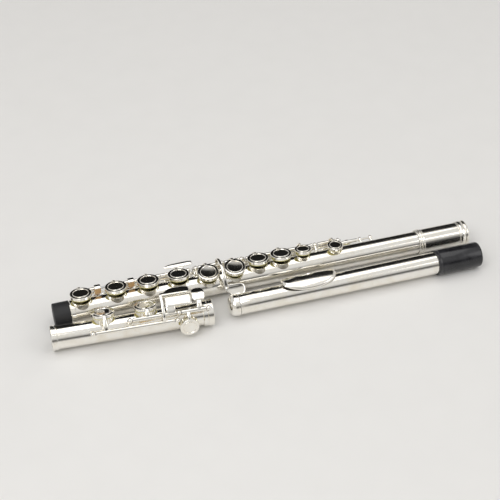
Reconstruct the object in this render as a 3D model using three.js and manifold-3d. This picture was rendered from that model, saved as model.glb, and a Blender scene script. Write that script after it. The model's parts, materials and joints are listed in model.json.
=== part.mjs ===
// Concert flute taken apart into its three sections, lying side by side.
// Millimetres, +Z up. Every section is drawn along its own +X axis with the bore at Y = 0, Z = 0.
// Angles round a tube are measured from straight up, positive towards -Y.
import * as THREE from 'three';
import { mergeVertices } from 'three/addons/utils/BufferGeometryUtils.js';
import Module from 'manifold-3d';

const wasm = await Module();
wasm.setup();

// ---- driving dimensions -------------------------------------------------------------------
const GAP = 0.3;                       // clearance between neighbouring pieces
const TUBE_R = 9.9;                    // body and foot tube, outside
const BORE_R = 9.1;
const CHIMNEY_TOP = 11.9;              // tone hole rim, measured from the tube axis
const PAD_BOTTOM = 12.05;
const PAD_TOP = 13.9;
const CUP_RIM = 12.45;
const CUP_CEILING = 14.2;
const CUP_TOP = 16.3;
const LOW_TOP = 15.2;
const ROD_Y = 12.54;                   // hinge rod beside a closed cup (cup normal straight up)
const ROD_Z = 9.45;
const HINGE_R = 1.9;
const HINGE_BORE = 1.2;
const STEEL_R = 0.9;
const HEAD_R = 2.1;                    // post head
const POST_R = 1.4;
const RIB_IN = 10.05;
const RIB_OUT = 10.9;
const OPEN = 9;                        // rest lift of an open key, degrees
const FOOT_REST = 1.5;                 // rest lift of the two foot cups, nearly closed
const G_OFFSET = 16;                   // offset G tone holes, degrees

const BODY = { at: [0, 0, 11.3], roll: -2, yaw: 0, left: -10.3, right: 322, tenon: -22.4 };
const BARREL = { left: 300, right: 347, r: 10.7, ring: 11.3, step: 339.6 };
const HEAD = { at: [117, -31.6, 11.15], roll: 0, yaw: 0.2, length: 229, tube: 9.4, tenon: 226, cap: 188 };
const FOOT = { at: [-31.2, -25.6, 11.15], roll: 0, yaw: -3.4, length: 134 };
const TRILL = { phi: -70, r: 14.2, tube: 1.6, bore: 1.1, steel: 0.8 };
const THUMB = { phi: -137, r: 12.2, tube: 1.5, hole: -104 };
const CUP_R = 9.25;
const HOLE_R = 6.8;

// ---- materials ----------------------------------------------------------------------------
const silver = new THREE.MeshStandardMaterial({ color: 0xe9e6dc, roughness: 0.16, metalness: 1 });
const steel = new THREE.MeshStandardMaterial({ color: 0xb9bcc0, roughness: 0.3, metalness: 1 });
const skin = new THREE.MeshStandardMaterial({ color: 0xe2d98f, roughness: 0.7, metalness: 0 });
const black = new THREE.MeshStandardMaterial({ color: 0x101012, roughness: 0.25, metalness: 0 });
const cork = new THREE.MeshStandardMaterial({ color: 0xc69a63, roughness: 0.85, metalness: 0 });

// ---- solids -------------------------------------------------------------------------------
const rad = THREE.MathUtils.degToRad;

function solid(geometry, matrix) {
  const g = geometry.clone();
  g.deleteAttribute('normal');
  g.deleteAttribute('uv');
  if (matrix) g.applyMatrix4(matrix);
  const merged = mergeVertices(g, 1e-4);
  const index = [...merged.index.array];
  const triVerts = [];
  for (let i = 0; i < index.length; i += 3) {
    const [a, b, c] = index.slice(i, i + 3);
    if (a !== b && b !== c && c !== a) triVerts.push(a, b, c);
  }
  const build = (triangles) => new wasm.Manifold(new wasm.Mesh({
    numProp: 3,
    vertProperties: new Float32Array(merged.attributes.position.array),
    triVerts: new Uint32Array(triangles),
  }));
  const made = build(triVerts);
  return made.volume() > 0 ? made : build(triVerts.reverse());
}

const join = (...parts) => parts.reduce((a, b) => a.add(b));
const cut = (base, ...tools) => tools.reduce((a, b) => a.subtract(b), base);

// Point on the polar grid round a tube.
const polar = (x, r, phi) => new THREE.Vector3(x, -r * Math.sin(rad(phi)), r * Math.cos(rad(phi)));

// Matrix whose local +Y points outwards at angle phi and whose origin is (x, 0, 0).
function outward(x, phi) {
  const up = polar(0, 1, phi);
  const along = new THREE.Vector3(1, 0, 0);
  const side = new THREE.Vector3().crossVectors(along, up);
  return new THREE.Matrix4().makeBasis(along, up, side).setPosition(x, 0, 0);
}

// Solid of revolution about an outward radius; profile points are [radius, distance from axis].
function turned(profile, x, phi, segments = 12) {
  const points = profile.map(([r, h]) => new THREE.Vector2(r, h));
  return solid(new THREE.LatheGeometry(points, segments), outward(x, phi));
}

// Solid of revolution about the X direction through (y, z); profile points are [radius, x].
function turnedX(profile, segments = 24, y = 0, z = 0) {
  const points = profile.map(([r, x]) => new THREE.Vector2(r, x));
  const m = new THREE.Matrix4().makeRotationZ(-Math.PI / 2).setPosition(0, y, z);
  return solid(new THREE.LatheGeometry(points, segments), m);
}

const barX = (x0, x1, r, y = 0, z = 0, segments = 8) =>
  turnedX([[0, x0], [r, x0], [r, x1], [0, x1]], segments, y, z);

const plug = (x, phi, r, h0, h1, segments = 12) =>
  turned([[0, h0], [r, h0], [r, h1], [0, h1]], x, phi, segments);

// Outline of (y, z) points pushed from x0 to x1.
function prismX(outline, x0, x1) {
  const shape = new THREE.Shape(outline.map(([y, z]) => new THREE.Vector2(y, z)));
  const g = new THREE.ExtrudeGeometry(shape, { depth: x1 - x0, bevelEnabled: false, curveSegments: 8 });
  const m = new THREE.Matrix4().makeBasis(
    new THREE.Vector3(0, 1, 0), new THREE.Vector3(0, 0, 1), new THREE.Vector3(1, 0, 0));
  return solid(g, m.setPosition(x0, 0, 0));
}

// Curved plate hugging the tube between two radii and two angles.
function arcPlate(x0, x1, r0, r1, phi0, phi1, steps = 4) {
  const outline = [];
  for (let i = 0; i <= steps; i++) {
    const p = polar(0, r0, phi0 + (phi1 - phi0) * i / steps);
    outline.push([p.y, p.z]);
  }
  for (let i = steps; i >= 0; i--) {
    const p = polar(0, r1, phi0 + (phi1 - phi0) * i / steps);
    outline.push([p.y, p.z]);
  }
  return prismX(outline, x0, x1);
}

// Flat plate: an (x, s) outline lying on the line from a to b in the (y, z) plane.
function plate(outline, a, b, thickness) {
  const along = new THREE.Vector3(0, b[0] - a[0], b[1] - a[1]).normalize();
  const ex = new THREE.Vector3(1, 0, 0);
  const normal = new THREE.Vector3().crossVectors(ex, along);
  const shape = new THREE.Shape(outline.map(([x, s]) => new THREE.Vector2(x, s)));
  const g = new THREE.ExtrudeGeometry(shape, { depth: thickness, bevelEnabled: false });
  return solid(g, new THREE.Matrix4().makeBasis(ex, along, normal).setPosition(0, a[0], a[1]));
}

const oval = (x, s, hx, hs, n = 16) => Array.from({ length: n }, (_, i) =>
  [x + hx * Math.cos(2 * Math.PI * i / n), s + hs * Math.sin(2 * Math.PI * i / n)]);

function toGeometry(manifold, offset = [0, 0, 0]) {
  const mesh = manifold.getMesh();
  const g = new THREE.BufferGeometry();
  g.setAttribute('position', new THREE.BufferAttribute(new Float32Array(mesh.vertProperties), 3));
  g.setIndex(new THREE.BufferAttribute(new Uint32Array(mesh.triVerts), 1));
  g.translate(-offset[0], -offset[1], -offset[2]);
  g.computeVertexNormals();
  return g;
}

const group = new THREE.Group();

function section({ at, roll, yaw }) {
  const outer = new THREE.Group();
  outer.position.set(...at);
  outer.rotation.z = rad(yaw);
  const inner = new THREE.Group();
  inner.rotation.x = rad(roll);
  outer.add(inner);
  group.add(outer);
  return inner;
}

function put(parent, name, manifold, material) {
  const mesh = new THREE.Mesh(toGeometry(manifold), material);
  mesh.name = name;
  parent.add(mesh);
  return mesh;
}

// Pieces sharing one hinge: drawn closed, then turned about the hinge line by `lift` degrees.
function hinged(parent, [y, z], lift, turn, pieces) {
  const frame = new THREE.Group();
  frame.rotation.x = rad(turn);
  const pivot = new THREE.Group();
  pivot.position.set(0, y, z);
  pivot.rotation.x = rad(lift);
  for (const [name, manifold, material] of pieces) {
    const mesh = new THREE.Mesh(toGeometry(manifold, [0, y, z]), material);
    mesh.name = name;
    pivot.add(mesh);
  }
  frame.add(pivot);
  parent.add(frame);
}

// ---- repeated pieces ----------------------------------------------------------------------
function cup(x, r) {
  return turned([[0, CUP_TOP - 0.9], [0.6 * r, CUP_TOP - 0.9], [0.7 * r, CUP_TOP], [0.8 * r, CUP_TOP - 0.45],
    [r, CUP_TOP - 1.2], [r, CUP_RIM], [r - 0.7, CUP_RIM], [r - 0.7, CUP_CEILING], [0, CUP_CEILING]], x, 0);
}

// Flat, low cup for the keys at the back of the tube.
const lowCup = (x, r, phi) => turned([[0, LOW_TOP], [r - 0.6, LOW_TOP], [r, LOW_TOP - 0.6], [r, CUP_RIM],
  [r - 0.7, CUP_RIM], [r - 0.7, CUP_CEILING], [0, CUP_CEILING]], x, phi);

const pad = (x, r, phi = 0) => plug(x, phi, r - 1, PAD_BOTTOM, PAD_TOP);

const ARM = [[11.4, 10.2], [13.8, 10.2], [13.5, 12.2], [10.4, 15.9], [5.4, 16.3], [5.4, 15], [9.4, 14], [11.2, 12.2]];
const mirror = (outline) => outline.map(([y, z]) => [-y, z]).reverse();

const hinge = (x0, x1, y = ROD_Y, z = ROD_Z, r = HINGE_R) => barX(x0, x1, r, y, z);
const bore = (x0, x1, y = ROD_Y, z = ROD_Z, r = HINGE_BORE) => barX(x0 - 1, x1 + 1, r, y, z);

// Cup, arm and hinge tube of one key; side -1 puts the hinge on the -Y side.
function key(x, r, x0, x1, side = 1, extras = []) {
  const arm = side > 0 ? ARM : mirror(ARM);
  const y = side * ROD_Y;
  return cut(join(cup(x, r), prismX(arm, x - 1.8, x + 1.8), hinge(x0, x1, y), ...extras), bore(x0, x1, y));
}

// Turned post: a neck on the rib and a rounded head round the steel.
const post = (x, phi, r, base = RIB_IN + 0.2) => turned([[0, base], [POST_R, base], [POST_R, r - 1.9],
  [HEAD_R, r - 0.8], [HEAD_R, r + 1], [0, r + 2.2]], x, phi, 8);

const chimney = (x, phi, r) => plug(x, phi, r + 0.85, 4, CHIMNEY_TOP, 14);
const hole = (x, phi, r) => plug(x, phi, r, 3, CHIMNEY_TOP + 1, 14);

function toneTube(profile, holes) {
  const outer = join(turnedX(profile, 24), ...holes.map(([x, phi, r]) => chimney(x, phi, r)));
  const x0 = Math.min(...profile.map((p) => p[1]));
  const x1 = Math.max(...profile.map((p) => p[1]));
  return cut(outer, barX(x0 - 1, x1 + 1, BORE_R, 0, 0, 24), ...holes.map(([x, phi, r]) => hole(x, phi, r)));
}

// ---- body section -------------------------------------------------------------------------
const body = section(BODY);
const mainHoles = [0, 29.5, 57.1, 83.3, 153.4, 174.2];
const BACK_HOLE = -106;
const bodyHoles = [
  ...mainHoles.map((x) => [x, 0, HOLE_R]), [108.1, G_OFFSET, HOLE_R], [131.4, G_OFFSET, HOLE_R],
  [194.1, 0, 4.4], [223.3, 0, 4], [240, BACK_HOLE, 4], [119.8, BACK_HOLE, 4.8], [185, THUMB.hole, 4]];
const bodyProfile = [[0, BODY.tenon], [9.5, BODY.tenon], [9.5, BODY.left], [10.6, BODY.left],
  [10.6, BODY.left + 3.7], [TUBE_R, BODY.left + 3.7], [TUBE_R, BODY.right], [0, BODY.right]];
put(body, 'body_tube', toneTube(bodyProfile, bodyHoles), silver);

const barrelIn = TUBE_R + GAP;
put(body, 'barrel', turnedX([[barrelIn, BARREL.left], [11, BARREL.left], [11, 304.6], [BARREL.r, 304.6], [BARREL.r, BARREL.step],
  [BARREL.ring, BARREL.step], [BARREL.ring, BARREL.right], [barrelIn, BARREL.right],
  [barrelIn, BARREL.left]], 24), silver);

const MAIN = -53;
const ROD_R = Math.hypot(ROD_Y, ROD_Z);
const G_ROD = MAIN + G_OFFSET;
const rodBore = (phi, x0, x1, r = ROD_R, b = HINGE_BORE) => {
  const p = polar(0, r, phi);
  return barX(x0, x1, b, p.y, p.z);
};

put(body, 'right_hand_rib', cut(join(arcPlate(-6, 96, RIB_IN, RIB_OUT, -60, -50),
  ...[-4.6, 25, 52, 94.4].map((x) => post(x, MAIN, ROD_R))), rodBore(MAIN, -12, 99)), silver);
put(body, 'left_hand_rib', cut(join(arcPlate(97.6, 233, RIB_IN, RIB_OUT, -60, -50),
  ...[99.6, 143.6, 209.2, 230.6].map((x) => post(x, MAIN, ROD_R)),
  ...[100.4, 123.6, 141.2].map((x) => arcPlate(x - 2, x + 2, RIB_IN, RIB_OUT, -56, G_ROD + 5)),
  ...[100.4, 123.6, 141.2].map((x) => post(x, G_ROD, ROD_R))),
rodBore(MAIN, 96, 234), rodBore(G_ROD, 97, 144)), silver);
const trillPost = (x) => post(x, TRILL.phi, TRILL.r);
put(body, 'trill_rib', cut(join(arcPlate(249, 263, RIB_IN, RIB_OUT, -76, -64),
  trillPost(251.8), trillPost(261.5)), rodBore(TRILL.phi, 233, 266, TRILL.r)), silver);

const steelBar = (x0, x1, phi, r = ROD_R, s = STEEL_R) => {
  const p = polar(0, r, phi);
  return barX(x0, x1, s, p.y, p.z, 10);
};
put(body, 'right_hand_steel', steelBar(-6.6, 96.4, MAIN), steel);
put(body, 'left_hand_steel', steelBar(97.6, 232.6, MAIN), steel);
put(body, 'g_steel', steelBar(98.4, 143.2, G_ROD), steel);

const standard = [
  ['d_key', 0, -2.1, 14], ['e_key', 29.5, 27.5, 49.5], ['f_key', 57.1, 54.5, 69.8],
  ['fsharp_key', 83.3, 70.2, 84.9], ['a_key', 153.4, 146.1, 163.6], ['bflat_key', 174.2, 164, 183.8]];
const rod = [ROD_Y, ROD_Z];
for (const [name, x, x0, x1] of standard) {
  hinged(body, rod, -OPEN, 0, [[name, key(x, CUP_R, x0, x1), silver],
    [name.replace('_key', '_pad'), pad(x, CUP_R), skin]]);
}
for (const [name, x, x0, x1] of [['lower_g_key', 108.1, 102.9, 121.1], ['g_key', 131.4, 126.1, 138.7]]) {
  hinged(body, rod, -OPEN, G_OFFSET, [[name, key(x, CUP_R, x0, x1), silver],
    [name.replace('_key', '_pad'), pad(x, CUP_R), skin]]);
}
hinged(body, rod, -OPEN, 0, [['c_key', key(194.1, 7.3, 184.2, 206.7), silver], ['c_pad', pad(194.1, 7.3), skin]]);
put(body, 'd_trill_cup', key(223.3, 6.7, 211.7, 228.1, 1,
  [prismX([[11.4, 9], [12.5, 9], [12.5, 6.5], [11.4, 6.5]], 215, 217)]), silver);
put(body, 'd_trill_pad', pad(223.3, 6.7), skin);

// Side lever for B flat: a long pointed plate behind the F sharp key.
const sideLever = cut(join(hinge(85.3, 91.9), prismX([[12.2, 11], [13.6, 10.6], [16.4, 12.2], [15.2, 13.2]], 86, 91),
  plate([[74, 2.2], [79, 0], [99, 0], [99.5, 4.6], [80, 4.6]], [15, 12.2], [18.6, 13.3], 1.1)), bore(85.3, 91.9));
put(body, 'bflat_side_lever', sideLever, silver);

// Trill keys share the thin rod behind the main one.
const trill = polar(0, TRILL.r, TRILL.phi);
const touch = (x) => plate([[x - 2.8, 0], [x + 2.8, 0], [x + 2.8, 4.4], [x - 2.8, 4.4]], [3, 16.8], [7.4, 16.8], 1.1);
const trillLift = (x) => prismX([[11.2, 3.5], [13, 3.2], [13, 5.8], [10.3, 8.2], [7.8, 12], [6.3, 17.4], [3, 17.5],
  [3, 16.8], [5.4, 16.4], [6.6, 11.6], [9.3, 7.6]], x - 1.2, x + 1.2);
put(body, 'd_trill_touch', cut(join(barX(38, 226, TRILL.tube, trill.y, trill.z), trillLift(43.3), touch(43.3),
  prismX([[12.9, 5], [13.9, 5], [13.9, 7.5], [12.9, 7.5]], 215, 217)),
barX(37, 227, TRILL.bore, trill.y, trill.z)), silver);
put(body, 'dsharp_trill_key', join(barX(-6, 263.4, TRILL.steel, trill.y, trill.z),
  barX(12.6, 17, TRILL.tube, trill.y, trill.z), trillLift(14.75), touch(14.75),
  barX(234.5, 249, TRILL.tube, trill.y, trill.z), lowCup(240, 6.2, BACK_HOLE),
  prismX([[12.9, 4.4], [13.9, 6], [16.6, 4.6], [17.2, 1.6], [16, -4.4], [14.4, -4.2], [15.35, 0.4],
    [15.6, 2.8], [14.2, 3.6]], 238.4, 241.6)), silver);
put(body, 'dsharp_trill_pad', pad(240, 6.2, BACK_HOLE), skin);

// G sharp: paddle in front, cup behind, lever over the top between the two G keys.
const gArm = [[11.3, 10.6], [12.3, 11.1], [12.6, 13.2], [10.6, 16.4], [7, 18.6], [0, 20], [-7, 18.2], [-12, 14],
  [-15, 8.8], [-16, 4.6], [-17.4, 4.6], [-16.6, 9.4], [-13.2, 15.2], [-7.6, 19.6], [0, 21.4], [7.6, 20],
  [11.8, 17.4], [14.2, 13.4], [13.9, 10.4]];
put(body, 'gsharp_key', cut(join(hinge(102.1, 141.3), prismX(gArm, 118.5, 121), lowCup(119.8, 6.4, BACK_HOLE),
  prismX([[13.2, 8.2], [14, 9.9], [17.4, 6.6], [18, 2.2], [16.2, -4.4], [14.4, -4.2], [15.4, 0.6],
    [15.9, 4.6], [14.9, 6.9]], 118, 121.6),
  plate([[118.5, 0], [133, -6.4], [136, -4], [136, 1.4], [133, 3.4], [121, 3.4]],
    [-16.8, 5.8], [-15.4, 9.2], 1.2)), bore(102.1, 141.3)), silver);
put(body, 'gsharp_pad', pad(119.8, 6.4, BACK_HOLE), skin);

// Thumb keys under the far side of the tube.
const thumb = polar(0, THUMB.r, THUMB.phi);
const thumbPost = (x) => join(plug(x, THUMB.phi, 1.3, RIB_IN + 0.2, THUMB.r, 8),
  barX(x - 1.1, x + 1.1, 1.6, thumb.y, thumb.z));
put(body, 'thumb_rib', cut(join(arcPlate(141, 196, RIB_IN, 10.5, -150, -138), thumbPost(142.4), thumbPost(194)),
  barX(140, 197, 1, thumb.y, thumb.z)), silver);
put(body, 'thumb_steel', barX(141, 195.4, 0.7, thumb.y, thumb.z, 8), steel);
const thumbArm = prismX([[7.8, -9.9], [8.6, -7.8], [10.2, -8.72], [10.7, -8.54], [12.6, -9], [14.2, -3.5],
  [15.3, -3.8], [13.8, -9.8], [10.2, -9.8]], 183, 187);
const thumbLever = (x0, x1) => prismX([[8.8, -10], [9.4, -8.2], [14.6, -5.4], [15.8, -6.8]], x0, x1);
const thumbPlate = (x0, x1) => plate([[x0, 0], [x1, 0], [x1, 9], [x0, 9]], [15.4, -7], [13.6, 2], -1.1);
hinged(body, [thumb.y, thumb.z], -6, 0, [
  ['thumb_b_key', cut(join(barX(158.4, 192.4, THUMB.tube, thumb.y, thumb.z), lowCup(185, 6.2, THUMB.hole),
    thumbArm, thumbLever(164, 168), thumbPlate(160, 172)),
  barX(157, 194, 1, thumb.y, thumb.z)), silver],
  ['thumb_b_pad', pad(185, 6.2, THUMB.hole), skin]]);
hinged(body, [thumb.y, thumb.z], -6, 0, [
  ['thumb_bflat_lever', cut(join(barX(144.2, 158, THUMB.tube, thumb.y, thumb.z),
    thumbLever(150, 153), thumbPlate(146, 158)),
  barX(143, 159, 1, thumb.y, thumb.z)), silver]]);

put(body, 'body_tenon_cap', turnedX([[0, -24.6], [10, -24.6], [10.4, -24.2], [10.4, -10.7], [9.8, -10.7],
  [9.8, -23.4], [0, -23.4]], 24), black);

// ---- foot section -------------------------------------------------------------------------
const foot = section(FOOT);
const FOOT_TURN = -20;
const footHoles = [[44, FOOT_TURN, 7.2], [79, FOOT_TURN, 7.2], [112, 86, 6]];
const L = FOOT.length;
const footTube = toneTube([[0, 0], [10.6, 0], [10.6, 5], [TUBE_R, 5], [TUBE_R, 125], [10.9, 125],
  [10.9, L - 5], [11.15, L - 5], [11.15, L], [0, L]], footHoles);
put(foot, 'foot_tube', cut(footTube, barX(L - 22, L + 1, 9.8, 0, 0, 24)), silver);

const A_ROD = FOOT_TURN + 53;
const B_ROD = 55;
const B_R = 15.6;
put(foot, 'foot_rib', cut(join(arcPlate(31, 124.6, RIB_IN, RIB_OUT, 34, 42),
  ...[33.2, 102.6].map((x) => arcPlate(x - 1.8, x + 1.8, RIB_IN, RIB_OUT, 40, 60)),
  ...[33.2, 102.6].map((x) => post(x, B_ROD, B_R)), ...[64.2, 104.6].map((x) => post(x, A_ROD, ROD_R)),
  arcPlate(121, 124.6, RIB_IN, 12, 28, 42), arcPlate(121, 131.2, 11.2, 12, 28, 42),
  post(129.4, A_ROD, ROD_R, 11.4)), rodBore(A_ROD, 60, 133), rodBore(B_ROD, 30, 108, B_R)), silver);
put(foot, 'foot_inner_steel', steelBar(62.2, 131.4, A_ROD), steel);
put(foot, 'foot_outer_steel', steelBar(31.2, 104.6, B_ROD, B_R), steel);

const a = polar(0, ROD_R, A_ROD);
const b = polar(0, B_R, B_ROD);
// C sharp key: cup frame turned back by 20 degrees, hinge in front, square touch to the right.
const local = (p, turn) => polar(0, Math.hypot(p[0], p[1]), THREE.MathUtils.radToDeg(Math.atan2(-p[0], p[1])) - turn);
const inFrame = (outline, turn) => outline.map((p) => { const q = local(p, turn); return [q.y, q.z]; });
const raised = (outline, [y, z], by) => outline.map(([u, v]) => [
  y + (u - y) * Math.cos(rad(by)) - (v - z) * Math.sin(rad(by)),
  z + (u - y) * Math.sin(rad(by)) + (v - z) * Math.cos(rad(by))]);
const csHinge = [-ROD_Y, ROD_Z];
const csRaise = OPEN - FOOT_REST;
const csTouch = raised(inFrame([[-9.6, 14.4], [-7.4, 14.4], [-4.6, 17.4], [3.4, 20], [3, 21.2], [-5.4, 18.6]],
  FOOT_TURN), csHinge, csRaise);
hinged(foot, csHinge, FOOT_REST, FOOT_TURN, [
  ['csharp_foot_key', key(79, 9.6, 66.5, 102.3, -1, [prismX(csTouch, 94.4, 102.3),
    prismX(raised(inFrame([[-4.9, 17.6], [3.4, 20], [3, 21.2], [-5.3, 18.8]], FOOT_TURN), csHinge, csRaise),
      102, 116.2)]), silver],
  ['csharp_foot_pad', pad(79, 9.6), skin]]);
// C key: longer arm from the outer rod, touch behind the C sharp touch.
const bLocal = local([b.y, b.z], FOOT_TURN);
const cArm = [[-16, 4.6], [-13.9, 4.6], [-13, 9], [-9.4, 14], [-5.4, 15], [-5.4, 16.3], [-10.4, 15.9], [-15, 10]];
const cHinge = [bLocal.y, bLocal.z];
const cRaise = OPEN - 2 - 1.17;
const cTouchArm = raised(inFrame([[-14, 9.6], [-12, 9.8], [-11.6, 13.6], [-8.6, 17.2], [-3, 20.2], [4.4, 21.6],
  [4.4, 22.8], [-3.6, 21.6], [-9.6, 18.6], [-13.2, 14.6]], FOOT_TURN), cHinge, cRaise);
const cPlate = raised(inFrame([[4.1, 20.4], [9.4, 20], [10.4, 18.6], [11.4, 19.2], [10, 21.4], [4.3, 22.6]], FOOT_TURN),
  cHinge, cRaise);
hinged(foot, cHinge, 1.17, FOOT_TURN, [
  ['c_foot_key', cut(join(cup(44, 9.6), prismX(cArm.slice().reverse(), 42.2, 45.8),
    hinge(35.8, 100, bLocal.y, bLocal.z), prismX(cTouchArm.slice().reverse(), 90.6, 93),
    prismX(cPlate.slice().reverse(), 90.6, 116.2)), bore(35.8, 100, bLocal.y, bLocal.z)), silver],
  ['c_foot_pad', pad(44, 9.6), skin]]);
// E flat key: cup on the front of the tube, round paddle reaching back over the top.
const EB_TURN = A_ROD + 53;
const ebStem = inFrame([[-9.4, 14.4], [-7.6, 14.4], [-5, 17.4], [-2, 18.6], [-2.4, 19.8], [-6, 18.4]], EB_TURN);
const ebFrame = new THREE.Matrix4().makeRotationX(-rad(EB_TURN));
const paddle = plate(oval(122.6, 6.4, 5.8, 6.9), [-4, 17.6], [8, 21], 1.2).transform(ebFrame.elements);
hinged(foot, rod, 0, EB_TURN, [
  ['eflat_key', key(112, 8, 106.9, 127.1, 1, [paddle, prismX(ebStem, 120.4, 125)]), silver],
  ['eflat_pad', pad(112, 8), skin]]);

// ---- head section -------------------------------------------------------------------------
const head = section(HEAD);
const LIP = { x: 71.8, phi: -16, hole: -40, half: 24.2, halfS: 12.8, r: 14.2 };
const headOuter = turnedX([[0, 9.3], [8.9, 9.3], [9.2, 60], [9.5, 110], [9.75, 170], [9.75, HEAD.tenon],
  [0, HEAD.tenon]], 24);
const embouchure = (h0, h1, k) => solid(new THREE.CylinderGeometry(1, 1, h1 - h0, 14).scale(6 * k, 1, 5 * k)
  .translate(0, (h0 + h1) / 2, 0), outward(LIP.x, LIP.hole));
put(head, 'head_tube', cut(headOuter, turnedX([[0, 8], [8.1, 8], [8.4, 60], [9, 170], [9, 228], [0, 228]], 24),
  embouchure(4, 14, 1.05)), silver);
put(head, 'riser', cut(embouchure(8, 14, 1.45).intersect(barX(40, 110, 12.9, 0, 0, 32)),
  barX(39, 111, 9.75, 0, 0, 24), embouchure(5, 16, 1)), silver);
const lipBlank = solid(new THREE.CylinderGeometry(1, 1, 20, 24).scale(LIP.half, 1, LIP.halfS).translate(0, 12, 0),
  outward(LIP.x, LIP.phi));
const shell = cut(barX(40, 110, LIP.r, 0, 0, 32), barX(39, 111, LIP.r - 1, 0, 0, 32));
put(head, 'lip_plate', cut(shell.intersect(lipBlank), embouchure(10, 18, 1)), silver);
put(head, 'crown', turnedX([[0, 0], [4, 0.3], [7, 1.4], [8.7, 3.4], [9.3, 5.8], [9.3, 8.9], [2.4, 8.9], [2.4, 4.5],
  [0, 4.5]], 20), silver);
put(head, 'stopper_rod', join(barX(4.9, 37.6, 1.6, 0, 0, 8), barX(35.8, 37.6, 6, 0, 0, 16)), steel);
put(head, 'stopper_cork', barX(37.9, 53, 8, 0, 0, 20), cork);
put(head, 'head_tenon_cap', turnedX([[10.05, HEAD.cap], [11, HEAD.cap], [11, HEAD.length - 0.8],
  [10.4, HEAD.length], [0, HEAD.length], [0, HEAD.length - 1.6], [10.05, HEAD.length - 1.6],
  [10.05, HEAD.cap]], 24), black);

// ---- origin: middle of the footprint, on the ground ----------------------------------------
group.updateMatrixWorld(true);
const box = new THREE.Box3().setFromObject(group, true);
const middle = box.getCenter(new THREE.Vector3());
group.position.set(-middle.x, -middle.y, -box.min.z);

export default group;
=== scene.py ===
import json
import math

import bmesh
import bpy
from bpy.props import FloatProperty, FloatVectorProperty, PointerProperty
from mathutils import Matrix, Vector


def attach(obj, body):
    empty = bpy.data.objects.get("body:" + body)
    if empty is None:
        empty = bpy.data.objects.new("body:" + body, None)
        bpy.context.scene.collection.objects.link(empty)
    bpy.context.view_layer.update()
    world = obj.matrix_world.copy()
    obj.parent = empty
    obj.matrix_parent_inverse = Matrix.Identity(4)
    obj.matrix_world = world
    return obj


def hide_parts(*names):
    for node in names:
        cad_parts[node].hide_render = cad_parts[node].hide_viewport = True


bl_info = {
    "name": "Concert flute in three sections",
    "version": (1, 0, 0),
    "blender": (4, 5, 0),
    "location": "3D View > Sidebar > Flute",
    "description": "Builds a silver-plated flute taken apart into body, foot and head",
    "category": "Object",
}

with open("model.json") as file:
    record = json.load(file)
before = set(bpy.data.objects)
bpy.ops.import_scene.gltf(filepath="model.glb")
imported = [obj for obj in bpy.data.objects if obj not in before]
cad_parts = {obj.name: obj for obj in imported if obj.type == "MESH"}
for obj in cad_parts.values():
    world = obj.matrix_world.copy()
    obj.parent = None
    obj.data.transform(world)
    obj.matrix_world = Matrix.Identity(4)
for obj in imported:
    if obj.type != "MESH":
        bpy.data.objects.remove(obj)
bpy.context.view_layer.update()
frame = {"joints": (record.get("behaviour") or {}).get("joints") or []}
JOINTS = {joint["name"]: joint for joint in frame["joints"]}
MM = 0.001

# Sizes in millimetres, along each section's own X axis with the bore at Y = 0, Z = 0.
ROD = (12.54, 9.45)            # hinge rod beside a closed cup that faces straight up
ROD_RADIUS = math.hypot(*ROD)
MAIN_ROD = -53                 # angles round a tube: from straight up, positive towards -Y
G_TURN = 16
G_ROD = MAIN_ROD + G_TURN
OPEN = 9
FOOT_REST, FOOT_OUTER_REST = 1.5, 1.17   # the two foot cups rest nearly closed
TRILL_ROD, TRILL_RADIUS = -70, 14.2
THUMB_ROD, THUMB_RADIUS, THUMB_HOLE = -137, 12.2, -104
BACK_HOLE = -106
FOOT_TURN = -20
FOOT_ROD, FOOT_OUTER_ROD, FOOT_OUTER_RADIUS = 33, 55, 15.6
EFLAT_TURN = 86
LIP_X, LIP_ANGLE, MOUTH_ANGLE = 71.8, -16, -40
LIP_HALF_LENGTH, LIP_HALF_WIDTH, LIP_RADIUS = 24.2, 15.2, 14.2
TUBE_R = 9.9                   # body and foot tubes
STRAP_IN, STRAP_OUT = 10.02, 10.75
CUP_R, FOOT_CUP_R, EFLAT_CUP_R = 9.25, 9.6, 8.0
D_TRILL_X, DSHARP_TRILL_X, GSHARP_X, THUMB_X = 223.3, 240, 119.8, 185
C_FOOT_X, CSHARP_FOOT_X, EFLAT_X = 44, 79, 112
SHARP = 32                     # degrees between faces that keep a sharp edge

# Main keys: name, cup, both ends of the hinge tube, turn round the tube, cup radius.
MAIN_KEYS = (("d", 0, -2.1, 14, 0, CUP_R), ("e", 29.5, 27.5, 49.5, 0, CUP_R),
             ("f", 57.1, 54.5, 69.8, 0, CUP_R), ("fsharp", 83.3, 70.2, 84.9, 0, CUP_R),
             ("lower_g", 108.1, 102.9, 121.1, G_TURN, CUP_R), ("g", 131.4, 126.1, 138.7, G_TURN, CUP_R),
             ("a", 153.4, 146.1, 163.6, 0, CUP_R), ("bflat", 174.2, 164, 183.8, 0, CUP_R),
             ("c", 194.1, 184.2, 206.7, 0, 7.3))

# Camera and studio, in metres and degrees.
HEADING, PITCH, DISTANCE, LENS, SENSOR = 17.18, 40, 1.0791, 88.1, 36
FLOOR_SIZE, FLOOR_DROP = 6, 0.0002
SOFTBOXES = (("key_softbox", (-0.9, -0.7, 1.5), 1.1, 8), ("fill_softbox", (1.3, -0.9, 1.1), 1.0, 3),
             ("top_softbox", (0.1, 0.25, 1.7), 1.3, 4))
BEHIND = ((0.0, 0.02), (0.74, 0.015), (0.79, 0.03), (0.835, 0.75), (0.90, 1.0), (1.0, 1.0))
IN_FRONT = ((0.0, 0.55), (0.12, 0.5), (0.18, 0.10), (0.30, 0.12), (0.46, 0.65), (0.62, 0.95), (1.0, 1.0))


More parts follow.
